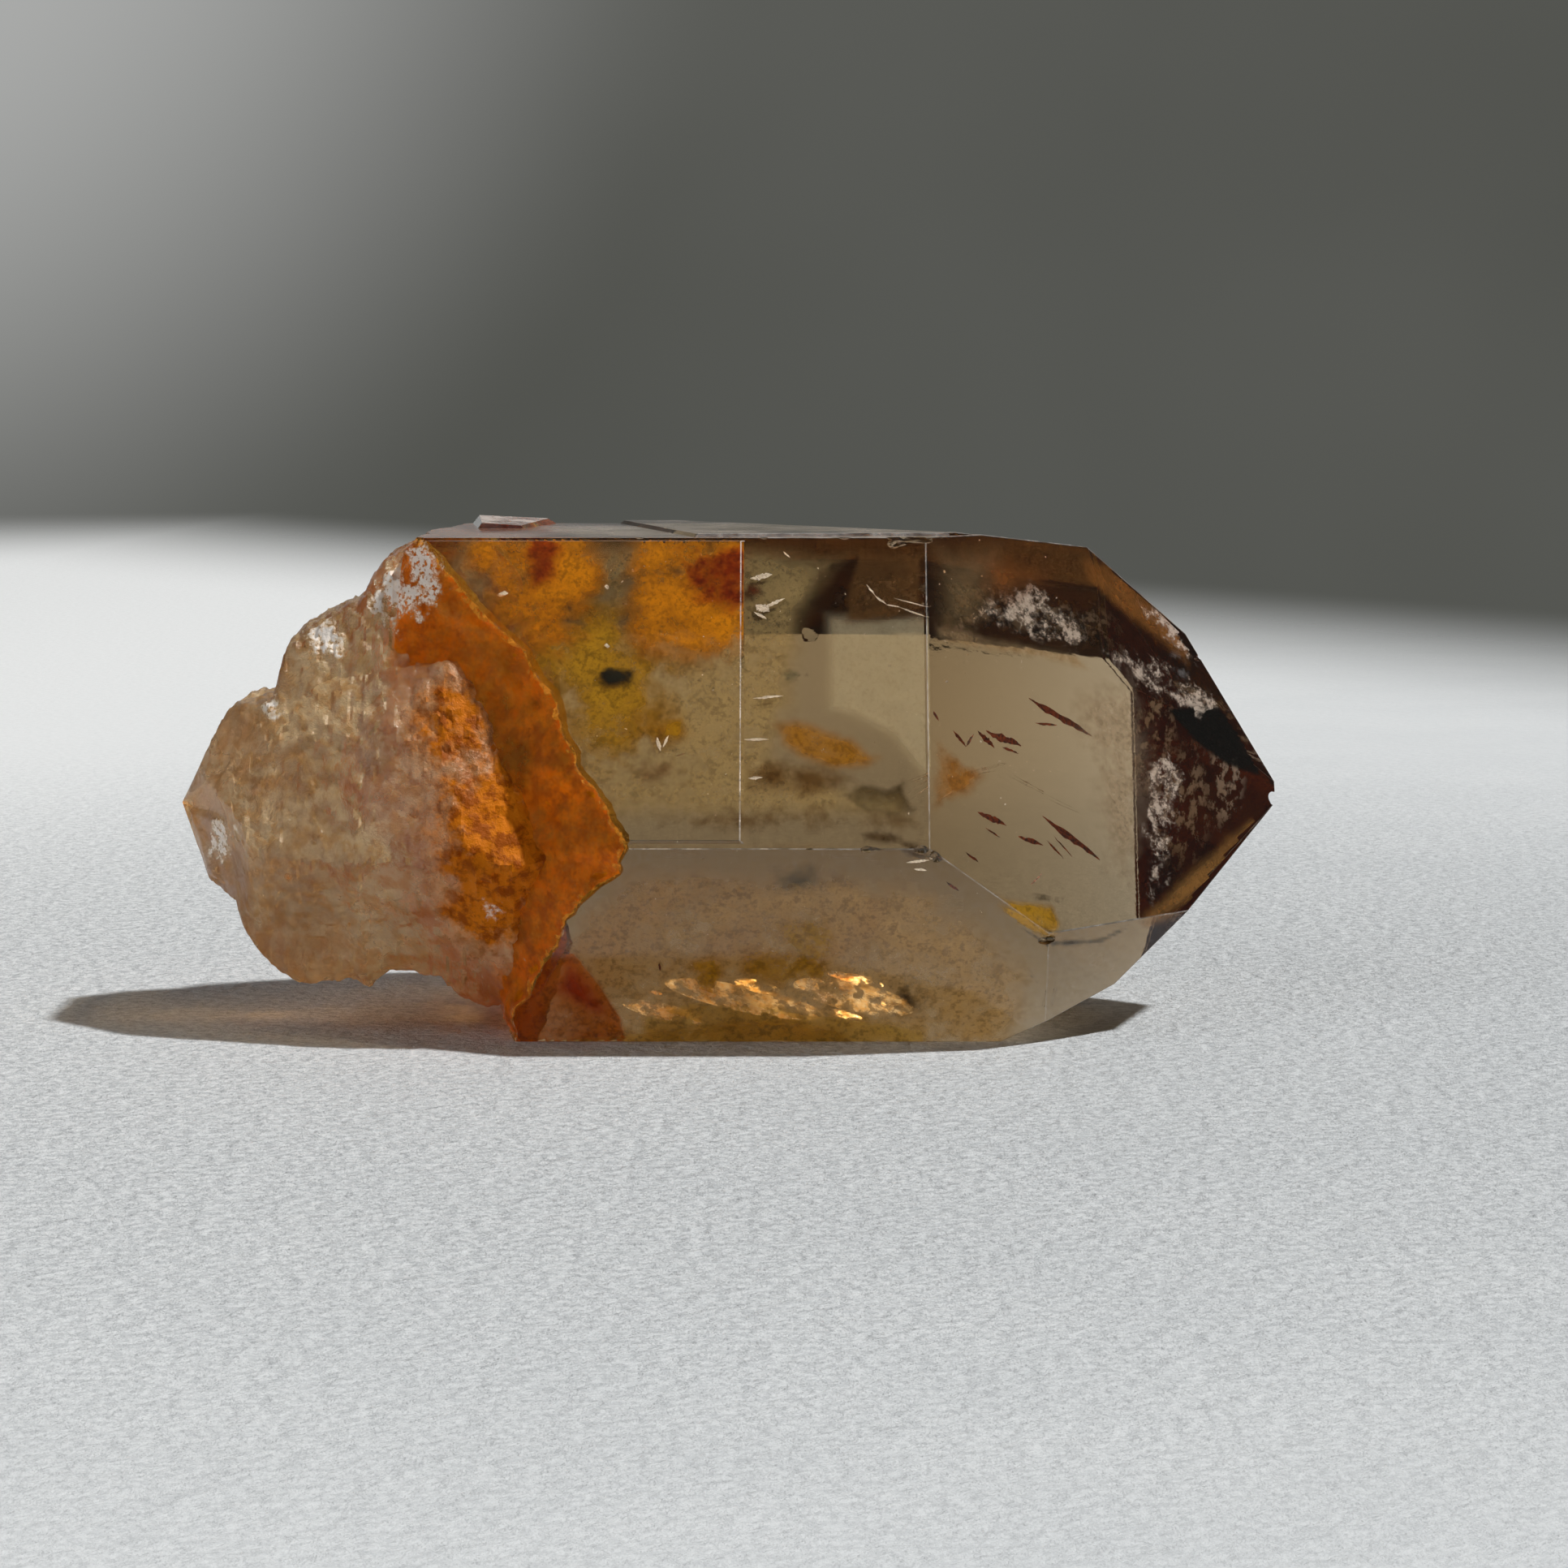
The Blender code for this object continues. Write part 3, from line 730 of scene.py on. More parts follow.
def crystal_material():
    g = material_graph("citrine_crystal")
    at = g.place()
    region = g.add("SeparateColor", None, Color=g.kept("region", "Color"))
    wall, base, chipped = region.outputs
    worn, dusty, _ = g.add("SeparateXYZ", None, Vector=g.kept("wear")).outputs
    broken = g.math("ADD", wall, base, clamp=True)

    fine = g.noise(at, 1.6, 6.0, 0.64)
    coarse = g.noise(at, 0.32, 3.0, 0.55)
    grain = g.noise(at, 4.5, 3.0, 0.6)
    grit = g.ramp(fine, 0.44, 0.6)
    ragged = g.swing(g.noise(at, 0.9, 7.0, 0.7), 3.0)

    frost = g.times(g.spots(at, FROST), g.ramp(fine, 0.48, 0.6))
    milky = g.ramp(g.plus(g.spots(at, MILKY, 0.0), ragged), 0.5, 0.9)
    milky = g.times(milky, g.ramp(grain, 0.35, 0.5), broken)
    rusty = g.math("SUBTRACT", g.spots(at, RUSTY, 0.1), g.times(ragged, 0.5))
    rusty = g.times(g.ramp(rusty, 0.1, 0.8), base)
    dust = g.times(dusty, g.ramp(coarse, 0.35, 0.65, 0.3, 0.7))
    worn = g.times(worn, g.ramp(g.noise(at, 1.1, 6.0, 0.7), 0.35, 0.65, 0.15, 1.0))

    rougher = (
        (frost, 0.4), (chipped, 0.1), (worn, 0.3), (dust, 0.35), (wall, 0.03), (milky, 0.25),
        (rusty, 0.2), (base, g.ramp(coarse, 0.35, 0.65, 0.1, 0.28)),
    )
    rough = g.ramp(coarse, 0.45, 0.8, 0.01, 0.05)
    rough = g.plus(rough, *[g.times(mask, amount) for mask, amount in rougher])

    colour = g.mix(wall, WHITE, rgb(250, 168, 40))
    colour = g.mix(base, colour, g.mix(grit, rgb(255, 228, 180), rgb(236, 190, 126)))
    colour = g.mix(rusty, colour, g.mix(grit, rgb(222, 128, 22), rgb(156, 78, 14)))
    white = g.math("MAXIMUM", frost, milky, worn, dust)
    colour = g.mix(white, colour, rgb(250, 240, 230))
    stained = g.math("MAXIMUM", wall, rusty, g.times(base, 0.25))
    shine = g.mix(stained, WHITE, RUST_SHINE)

    clouded = (
        (wall, g.ramp(fine, 0.4, 0.7, 0.06, 0.22)), (frost, 0.6), (milky, 0.85), (rusty, 0.45),
        (worn, 0.5), (dust, 0.3), (base, g.ramp(coarse, 0.35, 0.65, 0.15, 0.35)),
    )
    lost = g.plus(*[g.times(mask, amount) for mask, amount in clouded])
    through = g.math("SUBTRACT", 1.0, lost, clamp=True)

    lines = g.noise(g.vector("MULTIPLY", at, (0.12, 2.4, 2.4)), 1.0, 3.0, 0.5)
    striped = g.times(lines, g.math("SUBTRACT", 1.0, broken), 0.12)
    crumbs = g.times(g.plus(g.times(fine, 3.4), grain), broken)

    shader = g.surface(
        colour,
        rough,
        IOR=IOR,
        Transmission_Weight=through,
        Specular_Tint=shine,
        Normal=g.bump(g.plus(striped, crumbs), 0.00004),
    )
    shadow = g.add("LightPath").outputs["Is Shadow Ray"]
    outward = g.add("NewGeometry").outputs["Backfacing"]
    passed = g.mix(outward, g.mix(base, LIGHT_IN, BASE_LIGHT_IN), LIGHT_OUT)
    clear = g.add("BsdfTransparent", None, Color=passed)
    inside = g.add("VolumeAbsorption", None, Color=ABSORBED, Density=ABSORPTION)
    g.tree.links.new(inside.outputs[0], g.output.inputs["Volume"])
    return g.finish(g.blend(shadow, shader, clear))


# ---------------------------------------------------------------- what is sealed inside, and painted light and shade inside


ORANGE = rgb(232, 150, 14)
RED_ORANGE = rgb(176, 84, 8)
OLIVE = rgb(208, 160, 24)
BROWN = rgb(150, 112, 66)
SMOKE = rgb(74, 62, 38)
SOOT = rgb(40, 40, 32)
GREY_GREEN = rgb(116, 118, 92)
HAZE = rgb(214, 190, 134)
DUST = rgb(226, 212, 192)
FROST_WHITE = rgb(250, 238, 228)

# The three large faces of the front that the stains lie behind.
UPPER, LOWER, SLOPE = range(3)
# Stains keep this far from the other faces, and this far from the one the crystal lies on.
STAIN_DEPTH = 0.14
STAIN_FLOOR = 0.02
FILM_CELL = 0.16
FILM_WAVE = 0.04
# How much of the light a film lets glow through it, where light stands behind it and elsewhere.
BACKLIT_GLOW = 0.55
FILM_GLOW = 0.3
# How far in front of the broken wall its stained skin and the pale line along its rim lie.
SKIN_INSET = Vector((0.12, 0, 0))
RIM_INSET = Vector((0.1, 0, 0))
FLECKS = 420

# Iron stains, haze and smoky films, and films of painted light and painted shade: the face each lies
# behind, how far behind it, colour, opacity, width of its soft edge, how ragged it is, and its
# outline as x and z of points behind that face.
STAINS_AND_PAINTED_LIGHT = {
    "veil": (UPPER, 0.7, HAZE, 0.5, 1.2, 0.4, [
        (-11.1, 20.7), (5.6, 19.7), (3.4, 16.9), (3.1, 13.3), (2.6, 12.9), (2.4, 11.9), (4.6, 11.0),
        (7.2, 10.5), (7.7, 8.9), (-5.0, 8.9), (-6.6, 10.9), (-8.0, 13.9), (-12.0, 18.6)
    ]),
    "orange_left": (UPPER, 0.48, ORANGE, 0.97, 1.6, 0.8, [
        (-11.6, 21.5), (-4.6, 21.0), (-4.3, 18.7), (-4.9, 16.6), (-6.4, 15.0), (-8.9, 15.7),
        (-10.4, 17.3), (-11.2, 18.9)
    ]),
    "red_core": (UPPER, 0.3, RED_ORANGE, 0.35, 0.8, 1.2, [
        (-8.5, 20.8), (-6.5, 20.8), (-6.5, 19.2), (-7.1, 18.0), (-8.0, 17.5), (-8.5, 18.9)
    ]),
    "olive_left": (UPPER, 0.56, rgb(200, 154, 34), 0.85, 2.8, 0.9, [
        (-12.0, 18.5), (-9.0, 19.4), (-4.6, 19.5), (-0.6, 15.0), (-3.2, 10.2), (-6.2, 10.9),
        (-10.4, 15.9)
    ]),
    "orange_right": (UPPER, 0.37, ORANGE, 0.97, 1.7, 0.8, [
        (-4.5, 21.0), (2.6, 21.0), (2.6, 15.3), (-1.5, 14.8), (-3.8, 15.2), (-4.8, 16.6)
    ]),
    "orange_right_core": (UPPER, 0.3, RED_ORANGE, 0.25, 0.9, 1.2, [
        (-2.6, 20.0), (1.2, 20.1), (1.2, 17.0), (0.2, 16.9), (-1.6, 17.5), (-2.5, 18.9)
    ]),
    "ring": (UPPER, 0.5, OLIVE, 0.6, 0.4, 0.8, [
        (-2.8, 13.1), (-1.7, 13.3), (-1.6, 12.6), (-1.9, 12.2), (-2.8, 12.3)
    ]),
    "brown_patch": (UPPER, 0.5, BROWN, 0.55, 0.6, 0.8, [
        (-4.1, 11.4), (-3.1, 11.9), (-1.8, 11.6), (-2.0, 10.8), (-3.4, 10.4)
    ]),
    "speck_a": (UPPER, 0.4, SOOT, 0.85, 0.35, 0.9, [
        (-5.4, 14.9), (-4.8, 15.2), (-3.6, 15.1), (-3.7, 14.4), (-4.9, 14.3)
    ]),
    "speck_b": (UPPER, 0.5, GREY_GREEN, 0.6, 0.4, 0.9, [
        (1.7, 15.0), (2.8, 15.1), (3.7, 14.9), (3.6, 14.5), (2.1, 14.4)
    ]),
    "tongue": (UPPER, 1.0, rgb(236, 168, 30), 0.65, 0.6, 0.45, [
        (1.4, 13.0), (2.8, 13.2), (5.1, 12.4), (6.4, 11.5), (5.7, 11.0), (4.2, 10.9), (2.8, 11.3),
        (1.9, 11.9)
    ]),
    "tongue_right": (SLOPE, 0.8, rgb(214, 152, 60), 0.5, 0.7, 0.7, [
        (7.8, 12.4), (8.4, 12.2), (10.3, 10.7), (9.5, 9.9), (7.7, 9.3)
    ]),
    "olive_low": (UPPER, 0.62, OLIVE, 0.5, 1.6, 0.9, [
        (-5.1, 13.9), (-3.2, 14.2), (-1.5, 13.4), (-1.2, 12.3), (-2.5, 11.4), (-4.1, 11.7),
        (-5.2, 12.7)
    ]),
    "haze_mid": (UPPER, 0.55, rgb(150, 116, 62), 0.25, 1.0, 0.9, [
        (0.2, 11.7), (1.7, 12.0), (5.2, 11.2), (5.7, 10.6), (3.3, 10.0), (0.6, 10.2)
    ]),
    "smoke": (UPPER, 0.9, rgb(96, 78, 46), 0.85, 0.4, 0.55, [
        (4.3, 10.3), (5.2, 10.7), (6.2, 10.6), (7.1, 10.9), (7.1, 10.3), (7.6, 9.5), (6.5, 9.2),
        (5.2, 9.4), (4.6, 9.8)
    ]),
    "haze_low": (UPPER, 0.6, rgb(150, 118, 66), 0.3, 0.9, 0.9, [
        (-3.1, 9.6), (3.3, 10.1), (7.6, 9.6), (7.7, 8.7), (-3.1, 8.7)
    ]),
    "ridge_smoke": (UPPER, 0.58, rgb(96, 72, 40), 0.75, 0.4, 0.7, [
        (4.9, 9.0), (6.2, 9.1), (8.1, 8.3), (9.0, 7.6), (8.1, 7.4), (6.5, 8.3), (5.2, 8.4)
    ]),
    # Painted light: a pale film that brightens the see-through window of the upper front face.
    "window_haze": (UPPER, 0.75, rgb(255, 246, 214), 0.5, 0.7, 0.05, [
        (3.6, 17.3), (9.0, 17.3), (9.0, 10.2), (7.4, 10.8), (6.2, 12.2), (4.8, 12.9), (3.6, 13.1)
    ]),
    "window_top_right": (SLOPE, 0.7, rgb(220, 192, 150), 0.5, 0.5, 0.6, [
        (7.9, 16.9), (14.0, 15.2), (14.7, 14.3), (7.9, 15.9)
    ]),
    # Painted shade: a brown film darkening the top corner, where the faces behind reflect darker
    # surroundings into it.
    "corner_painted_shade": (UPPER, 0.6, rgb(150, 108, 60), 0.4, 0.4, 0.4, [
        (5.1, 19.7), (7.9, 19.6), (7.9, 17.1), (6.5, 16.8), (4.6, 16.7), (4.5, 17.8)
    ]),
    "red_spot": (UPPER, 0.5, rgb(96, 48, 24), 0.8, 0.25, 1.1, [
        (0.6, 18.4), (1.3, 18.3), (1.4, 17.8), (0.6, 17.7)
    ]),
    "pale_corner": (SLOPE, 0.76, rgb(220, 190, 140), 0.2, 1.6, 0.4, [
        (7.6, 20.3), (11.4, 19.9), (11.0, 17.6), (10.2, 15.9), (7.6, 15.5)
    ]),
    "amber_top": (SLOPE, 0.79, rgb(150, 92, 40), 0.7, 1.5, 0.6, [
        (9.4, 19.7), (11.5, 19.6), (13.9, 18.5), (12.8, 17.2), (11.1, 17.0), (9.5, 17.5)
    ]),
    "frost_lace": (SLOPE, 0.9, FROST_WHITE, 0.6, 0.9, 0.5, [
        (8.4, 16.7), (10.7, 18.9), (11.8, 18.6), (13.1, 17.4), (14.6, 16.6), (14.8, 15.2),
        (14.0, 14.8), (10.6, 16.2), (9.1, 15.9)
    ]),
    "edge_amber": (SLOPE, 0.49, rgb(176, 116, 52), 0.6, 0.7, 0.5, [
        (14.1, 19.2), (15.6, 18.9), (17.2, 17.6), (19.4, 15.2), (19.1, 14.0), (14.2, 17.9)
    ]),
    # Painted shade: a near-black film where the tip's back faces look dark by internal reflection.
    "black_facet": (SLOPE, 0.59, rgb(10, 8, 8), 1.3, 0.25, 0.1, [
        (17.7, 12.8), (19.1, 12.8), (20.2, 12.7), (21.4, 11.4), (22.4, 9.9), (21.9, 9.6),
        (20.4, 10.2), (19.0, 11.3)
    ]),
    "tip_band": (SLOPE, 0.6, rgb(158, 116, 62), 0.8, 0.6, 0.4, [
        (16.2, 4.9), (20.3, 7.8), (22.6, 8.8), (22.6, 7.6), (20.4, 5.8), (17.8, 4.5), (16.7, 4.2)
    ]),
    "frost_tip_a": (SLOPE, 0.6, FROST_WHITE, 0.6, 0.8, 0.5, [
        (16.6, 11.0), (17.9, 11.2), (18.9, 9.8), (17.9, 5.9), (17.1, 4.9), (16.4, 5.4)
    ]),
    "frost_tip_b": (SLOPE, 0.6, FROST_WHITE, 0.6, 0.8, 0.5, [
        (14.7, 15.3), (15.9, 15.5), (18.0, 14.7), (20.2, 13.3), (21.0, 12.0), (20.1, 11.5),
        (16.6, 13.5)
    ]),
    "frost_tip_c": (SLOPE, 0.36, FROST_WHITE, 0.6, 0.6, 0.5, [
        (16.5, 17.3), (18.2, 17.0), (20.0, 14.6), (20.2, 13.3), (16.9, 16.3)
    ]),
    "window_dust": (SLOPE, 0.6, DUST, 0.4, 2.0, 0.8, [
        (13.0, 13.8), (16.6, 15.1), (17.6, 12.5), (17.4, 7.2), (16.2, 5.1), (14.6, 6.5),
        (14.0, 10.3)
    ]),
    "olive_patch": (SLOPE, 0.5, rgb(190, 146, 26), 0.75, 0.4, 0.6, [
        (10.1, 6.6), (10.8, 6.2), (12.8, 5.8), (13.2, 4.9), (13.1, 4.4), (12.0, 4.7), (11.0, 5.4)
    ]),
    "patch_edge": (SLOPE, 0.97, SMOKE, 0.8, 0.2, 0.7, [
        (10.9, 5.6), (12.7, 4.6), (14.5, 4.4), (15.9, 4.8), (16.0, 4.7), (14.9, 4.0), (12.7, 4.2)
    ]),
    "patch_top": (SLOPE, 0.6, SMOKE, 0.8, 0.25, 0.9, [
        (11.2, 6.3), (12.4, 6.2), (13.3, 5.9), (13.2, 5.6), (12.2, 5.8)
    ]),
    "foot_red": (LOWER, 0.41, rgb(220, 84, 14), 0.85, 1.0, 0.3, [
        (-6.6, 4.1), (-6.2, 4.1), (-4.5, 1.4), (-5.3, 0.8), (-7.3, 2.2)
    ]),
    "foot": (LOWER, 0.56, rgb(240, 150, 44), 0.85, 0.2, 0.4, [
        (-7.7, 2.3), (-6.7, 4.1), (-6.1, 4.1), (-5.2, 2.8), (-4.3, 1.2), (-4.1, 0.3), (-4.1, -1.0),
        (-8.6, -1.0), (-8.7, 1.8)
    ]),
    "lf_veil": (LOWER, 1.6, rgb(244, 214, 156), 0.65, 1.8, 0.6, [
        (-4.6, 8.3), (3.3, 8.3), (6.8, 7.9), (9.0, 7.0), (11.7, 4.9), (12.9, 3.0), (11.8, -1.0),
        (-8.5, -1.0), (-7.0, 3.1), (-7.8, 4.5)
    ]),
    "lf_grey": (LOWER, 0.8, GREY_GREEN, 0.2, 1.4, 0.9, [
        (1.4, 8.0), (3.6, 8.2), (4.2, 7.2), (3.6, 6.1), (1.7, 6.3)
    ]),
    "lf_orange": (LOWER, 0.9, rgb(230, 196, 30), 0.9, 0.7, 0.7, [
        (1.5, 5.6), (3.3, 6.0), (4.6, 5.4), (4.3, 3.5), (2.8, 3.3), (1.7, 4.4)
    ]),
    "lf_amber": (LOWER, 1.2, rgb(236, 200, 60), 0.85, 0.8, 0.7, [
        (0.1, 4.4), (2.0, 4.9), (4.0, 4.0), (4.6, 2.6), (2.0, 2.2), (0.2, 3.1)
    ]),
    "lf_olive": (LOWER, 0.7, rgb(236, 196, 40), 0.85, 0.7, 0.8, [
        (-2.0, 4.0), (-0.3, 4.2), (0.1, 3.1), (-0.3, 1.7), (-1.2, 1.5), (-1.8, 2.7)
    ]),
    # Painted light: a golden film that stands in for the glow of light the crystal gathers low down.
    "lf_painted_glow_band": (LOWER, 0.83, rgb(255, 236, 140), 0.95, 0.7, 0.4, [
        (-3.9, 1.5), (-1.6, 2.2), (2.0, 1.9), (8.2, 0.9), (8.6, -1.0), (-3.9, -1.0)
    ]),
    # Painted light: more of that glow, lower down.
    "lf_painted_glow_low": (LOWER, 0.56, rgb(255, 224, 110), 0.9, 0.6, 0.4, [
        (2.0, 1.3), (4.6, 0.8), (5.5, -1.0), (-8.4, -1.0), (-8.4, 0.3)
    ]),
    "lf_dark": (LOWER, 1.0, SMOKE, 0.3, 1.2, 1.0, [
        (6.0, 3.1), (7.7, 3.3), (8.2, 2.1), (7.9, 0.9), (6.1, 1.1)
    ]),
}
# Stains that end sharply, where the raised part of the front face begins or at the front shoulder.
STOPPED = {
    "orange_right": STEP_X,
    "orange_right_core": STEP_X,
    "window_haze": FRONT_SHOULDER_X - 0.1,
}

# Rust-red plates: both ends and width.
LATHS = (
    ((11.4, -1.44, 13.03), (14.04, -0.15, 11.31), 0.3),
    ((11.6, -1.6, 12.0), (12.6, -1.2, 11.9), 0.12),
    ((8.22, -4.77, 12.03), (8.71, -4.72, 11.37), 0.14),
    ((8.71, -4.72, 11.37), (9.06, -4.17, 11.81), 0.1),
    ((9.23, -3.94, 11.95), (9.89, -3.79, 11.21), 0.24),
    ((9.57, -3.67, 11.92), (11.02, -2.84, 11.18), 0.34),
    ((10.23, -3.48, 11.25), (10.91, -3.09, 10.91), 0.12),
    ((9.17, -5.76, 8.87), (10.34, -5.13, 8.21), 0.26),
    ((11.88, -3.66, 8.46), (14.24, -2.72, 6.53), 0.3), ((12.3, -3.6, 7.6), (13.0, -3.3, 6.7), 0.06),
    ((10.84, -4.94, 7.79), (11.85, -4.34, 7.32), 0.2),
    ((8.65, -7.06, 7.4), (9.14, -6.88, 6.98), 0.12),
    ((12.03, -4.07, 7.52), (12.69, -3.94, 6.75), 0.1),
    ((11.3, -5.62, 5.91), (11.82, -4.96, 6.28), 0.08),
    ((9.5, -5.85, 8.23), (10.06, -5.61, 7.81), 0.09), ((8.1, -8.6, 13.6), (8.3, -8.5, 13.2), 0.1),
    ((-2.77, -6.87, 3.64), (-2.77, -6.66, 3.29), 0.1),
    ((-2.1, -6.9, 11.3), (-1.7, -6.9, 11.4), 0.07),
)
# Fine needles and healed cracks seen as pale or grey hairs.
HAIRS = (
    ((7.12, -5.68, 9.87), (10.16, -2.77, 10.37), 0.09),
    ((7.12, -6.04, 9.25), (9.31, -3.55, 10.29), 0.07), ((7.3, -5.9, 9.9), (9.7, -3.2, 10.1), 0.05),
    ((10.32, -2.9, 9.89), (11.84, -2.11, 8.98), 0.05),
    ((11.84, -2.11, 8.98), (13.21, -1.36, 8.22), 0.04),
    ((11.84, -6.71, 3.37), (12.44, -6.29, 2.65), 0.06),
    ((12.89, -6.32, 2.69), (12.62, -5.74, 1.68), 0.06),
    ((14.2, -1.6, 17.3), (14.6, -1.0, 15.9), 0.07), ((16.0, -1.6, 9.6), (18.4, 0.2, 10.2), 0.05),
)
# Bright little cracks, whose white also paints small glints of light: both ends and width.
SHARDS = (
    ((0.97, -7.24, 13.91), (2.18, -7.2, 13.99), 0.1),
    ((0.59, -8.13, 12.36), (1.61, -8.15, 12.34), 0.1),
    ((0.79, -8.98, 10.9), (1.36, -8.97, 10.92), 0.12),
    ((-1.38, -3.92, 19.67), (-1.08, -4.13, 19.29), 0.09),
    ((2.18, -3.99, 19.54), (2.44, -4.13, 19.29), 0.06),
    ((0.85, -4.57, 18.5), (1.73, -4.5, 18.62), 0.22),
    ((1.08, -5.17, 17.49), (1.6, -5.39, 17.2), 0.32),
    ((1.3, -5.3, 17.35), (2.24, -5.05, 17.71), 0.14), ((1.0, -5.3, 17.2), (1.5, -5.42, 16.9), 0.12),
    ((-2.81, -8.1, 12.42), (-2.7, -8.4, 11.9), 0.14),
    ((-2.6, -8.35, 12.05), (-2.36, -8.07, 12.48), 0.1),
    ((5.52, -4.73, 18.26), (5.84, -4.97, 17.84), 0.07),
    ((5.84, -4.97, 17.84), (6.29, -5.17, 17.49), 0.09),
    ((6.29, -5.17, 17.49), (6.87, -5.24, 17.37), 0.06),
    ((6.87, -5.24, 17.37), (7.89, -5.46, 17.0), 0.07),
    ((6.61, -5.03, 17.74), (7.9, -5.23, 17.39), 0.05),
    ((-4.9, -4.79, 18.25), (-4.9, -4.85, 18.05), 0.16),
    ((-4.86, -6.1, 15.99), (-4.86, -6.16, 15.8), 0.18),
    ((-3.92, -4.44, 18.77), (-3.7, -4.44, 18.79), 0.08),
    ((-9.3, -4.97, 17.84), (-8.85, -4.97, 17.9), 0.2), ((7.0, -10.2, 7.9), (7.9, -10.1, 8.0), 0.14),
    ((7.3, -10.3, 7.6), (7.8, -10.3, 7.5), 0.12),
)
# Warm mirror films low down, set to throw the key lamp's light to the camera as painted glints of the
# light the crystal gathers there,
# and the fainter painted sheen round them: middle, half length, half height.
CAUSTIC_GLINTS = (
    ((5.3, -6.3, 2.85), 0.95, 0.36), ((4.5, -6.5, 3.05), 0.6, 0.25),
    ((1.1, -6.25, 2.6), 0.95, 0.38), ((4.6, -5.6, 1.35), 0.8, 0.26),
    ((6.2, -5.83, 1.84), 0.3, 0.16), ((-3.0, -6.1, 2.3), 0.3, 0.14),
)
CAUSTIC_SHEEN = (
    ((0.6, -6.2, 2.0), 3.4, 0.8), ((5.0, -6.2, 2.1), 2.6, 0.9), ((-2.6, -6.1, 1.4), 1.8, 0.5),
)
# The way those mirror films face: turned to throw the key lamp's light towards the camera.
GLINT_FACING = unit((0.352, -0.783, 0.513))


def behind_face(which, inset, outline):
    """The outline's points on the plane this far behind one of the front faces."""
    n, d = (prism_faces()[:2] + point_faces()[:1])[which]
    return [(x, (d - inset - n.x * x - n.z * z) / n.y, z) for x, z in outline]


def depth_inside(spots, outline):
    """How far each spot lies inside a flat outline, or 0 outside it."""
    inside = np.zeros(len(spots), bool)
    far = np.full(len(spots), 1e9)
    for a, b in zip(outline, np.roll(outline, -1, axis=0)):
        edge = b - a
        share = np.clip((spots - a) @ edge / (edge @ edge), 0, 1)
        far = np.minimum(far, np.linalg.norm(spots - a - share[:, None] * edge, axis=1))
        crosses = (a[1] > spots[:, 1]) != (b[1] > spots[:, 1])
        with np.errstate(divide="ignore", invalid="ignore"):
            at = a[0] + (spots[:, 1] - a[1]) / (b[1] - a[1]) * (b[0] - a[0])
        inside ^= crosses & (spots[:, 0] < at)
    return np.where(inside, far, 0.0)


def film_grid(outline, soft, seed, stop):
    """A sheet over this outline that ends at the crystal's faces and at x = stop.

    Returns its points in mm, its squares, and how deep each point lies inside the outline.
    """
    corners = np.array(outline)
    middle = corners.mean(axis=0)
    u, v, lift = np.linalg.svd(corners - middle)[2]
    flat = (corners - middle) @ np.array([u, v]).T
    low = flat.min(axis=0) - FILM_CELL
    wide, high = np.ceil((flat.max(axis=0) + FILM_CELL - low) / FILM_CELL).astype(int) + 1
    across, up = np.meshgrid(np.arange(wide), np.arange(high))
    spots = low + FILM_CELL * np.stack([across.ravel(), up.ravel()], axis=1)
    core = np.clip(depth_inside(spots, flat) / soft, 0, 1)

    points = []
    for p in middle + spots @ np.array([u, v]):
        wave = noise.fractal(Vector(p) * 1.3 + Vector((seed, 0, 0)), 1.0, 2.0, 3)
        points.append(Vector(p) + Vector(lift) * (FILM_WAVE * wave))
    limits = [
        (n, d - (STAIN_DEPTH if n.z > -0.9 else STAIN_FLOOR))
        for n, d in prism_faces() + point_faces()
    ]
    within = [all(n.dot(p) < d for n, d in limits) for p in points]
    squares = [
        square
        for square in grid_quads(high, wide, joined=False)
        if any(core[c] > 0 for c in square)
        and all(within[c] for c in square)
        and any(points[c].x < stop for c in square)
    ]
    used = sorted({c for square in squares for c in square})
    number = {old: new for new, old in enumerate(used)}
    squares = [tuple(number[c] for c in square) for square in squares]
    ended = [Vector((min(points[c].x, stop), points[c].y, points[c].z)) for c in used]
    return ended, squares, [core[c] for c in used]


def build_stains_and_painted_light(film, frost):
    """Every stain, and every film of painted light and shade, as its own piece, its colour and how
    patchy it is kept on its points.
    """
    for count, (name, row) in enumerate(STAINS_AND_PAINTED_LIGHT.items()):
        which, inset, colour, opacity, soft, ragged, outline = row
        outline = behind_face(which, inset, outline)
        stop = STOPPED.get(name, math.inf)
        points, squares, core = film_grid(outline, soft, count * 7.1, stop)
        piece = mesh_object("stain_" + name, points, squares)
        backlit = name.startswith(("lf_", "tongue", "window"))
        glow = BACKLIT_GLOW if backlit else FILM_GLOW
        keep(piece.data, "tint", "FLOAT_COLOR", "POINT", [colour] * len(points))
        keep(piece.data, "glow", "FLOAT", "POINT", [glow] * len(points))
        keep(piece.data, "cover", "FLOAT_VECTOR", "POINT", [(c, opacity, ragged) for c in core])
        add_piece(piece, frost if name.startswith("frost") else film, smooth=True)


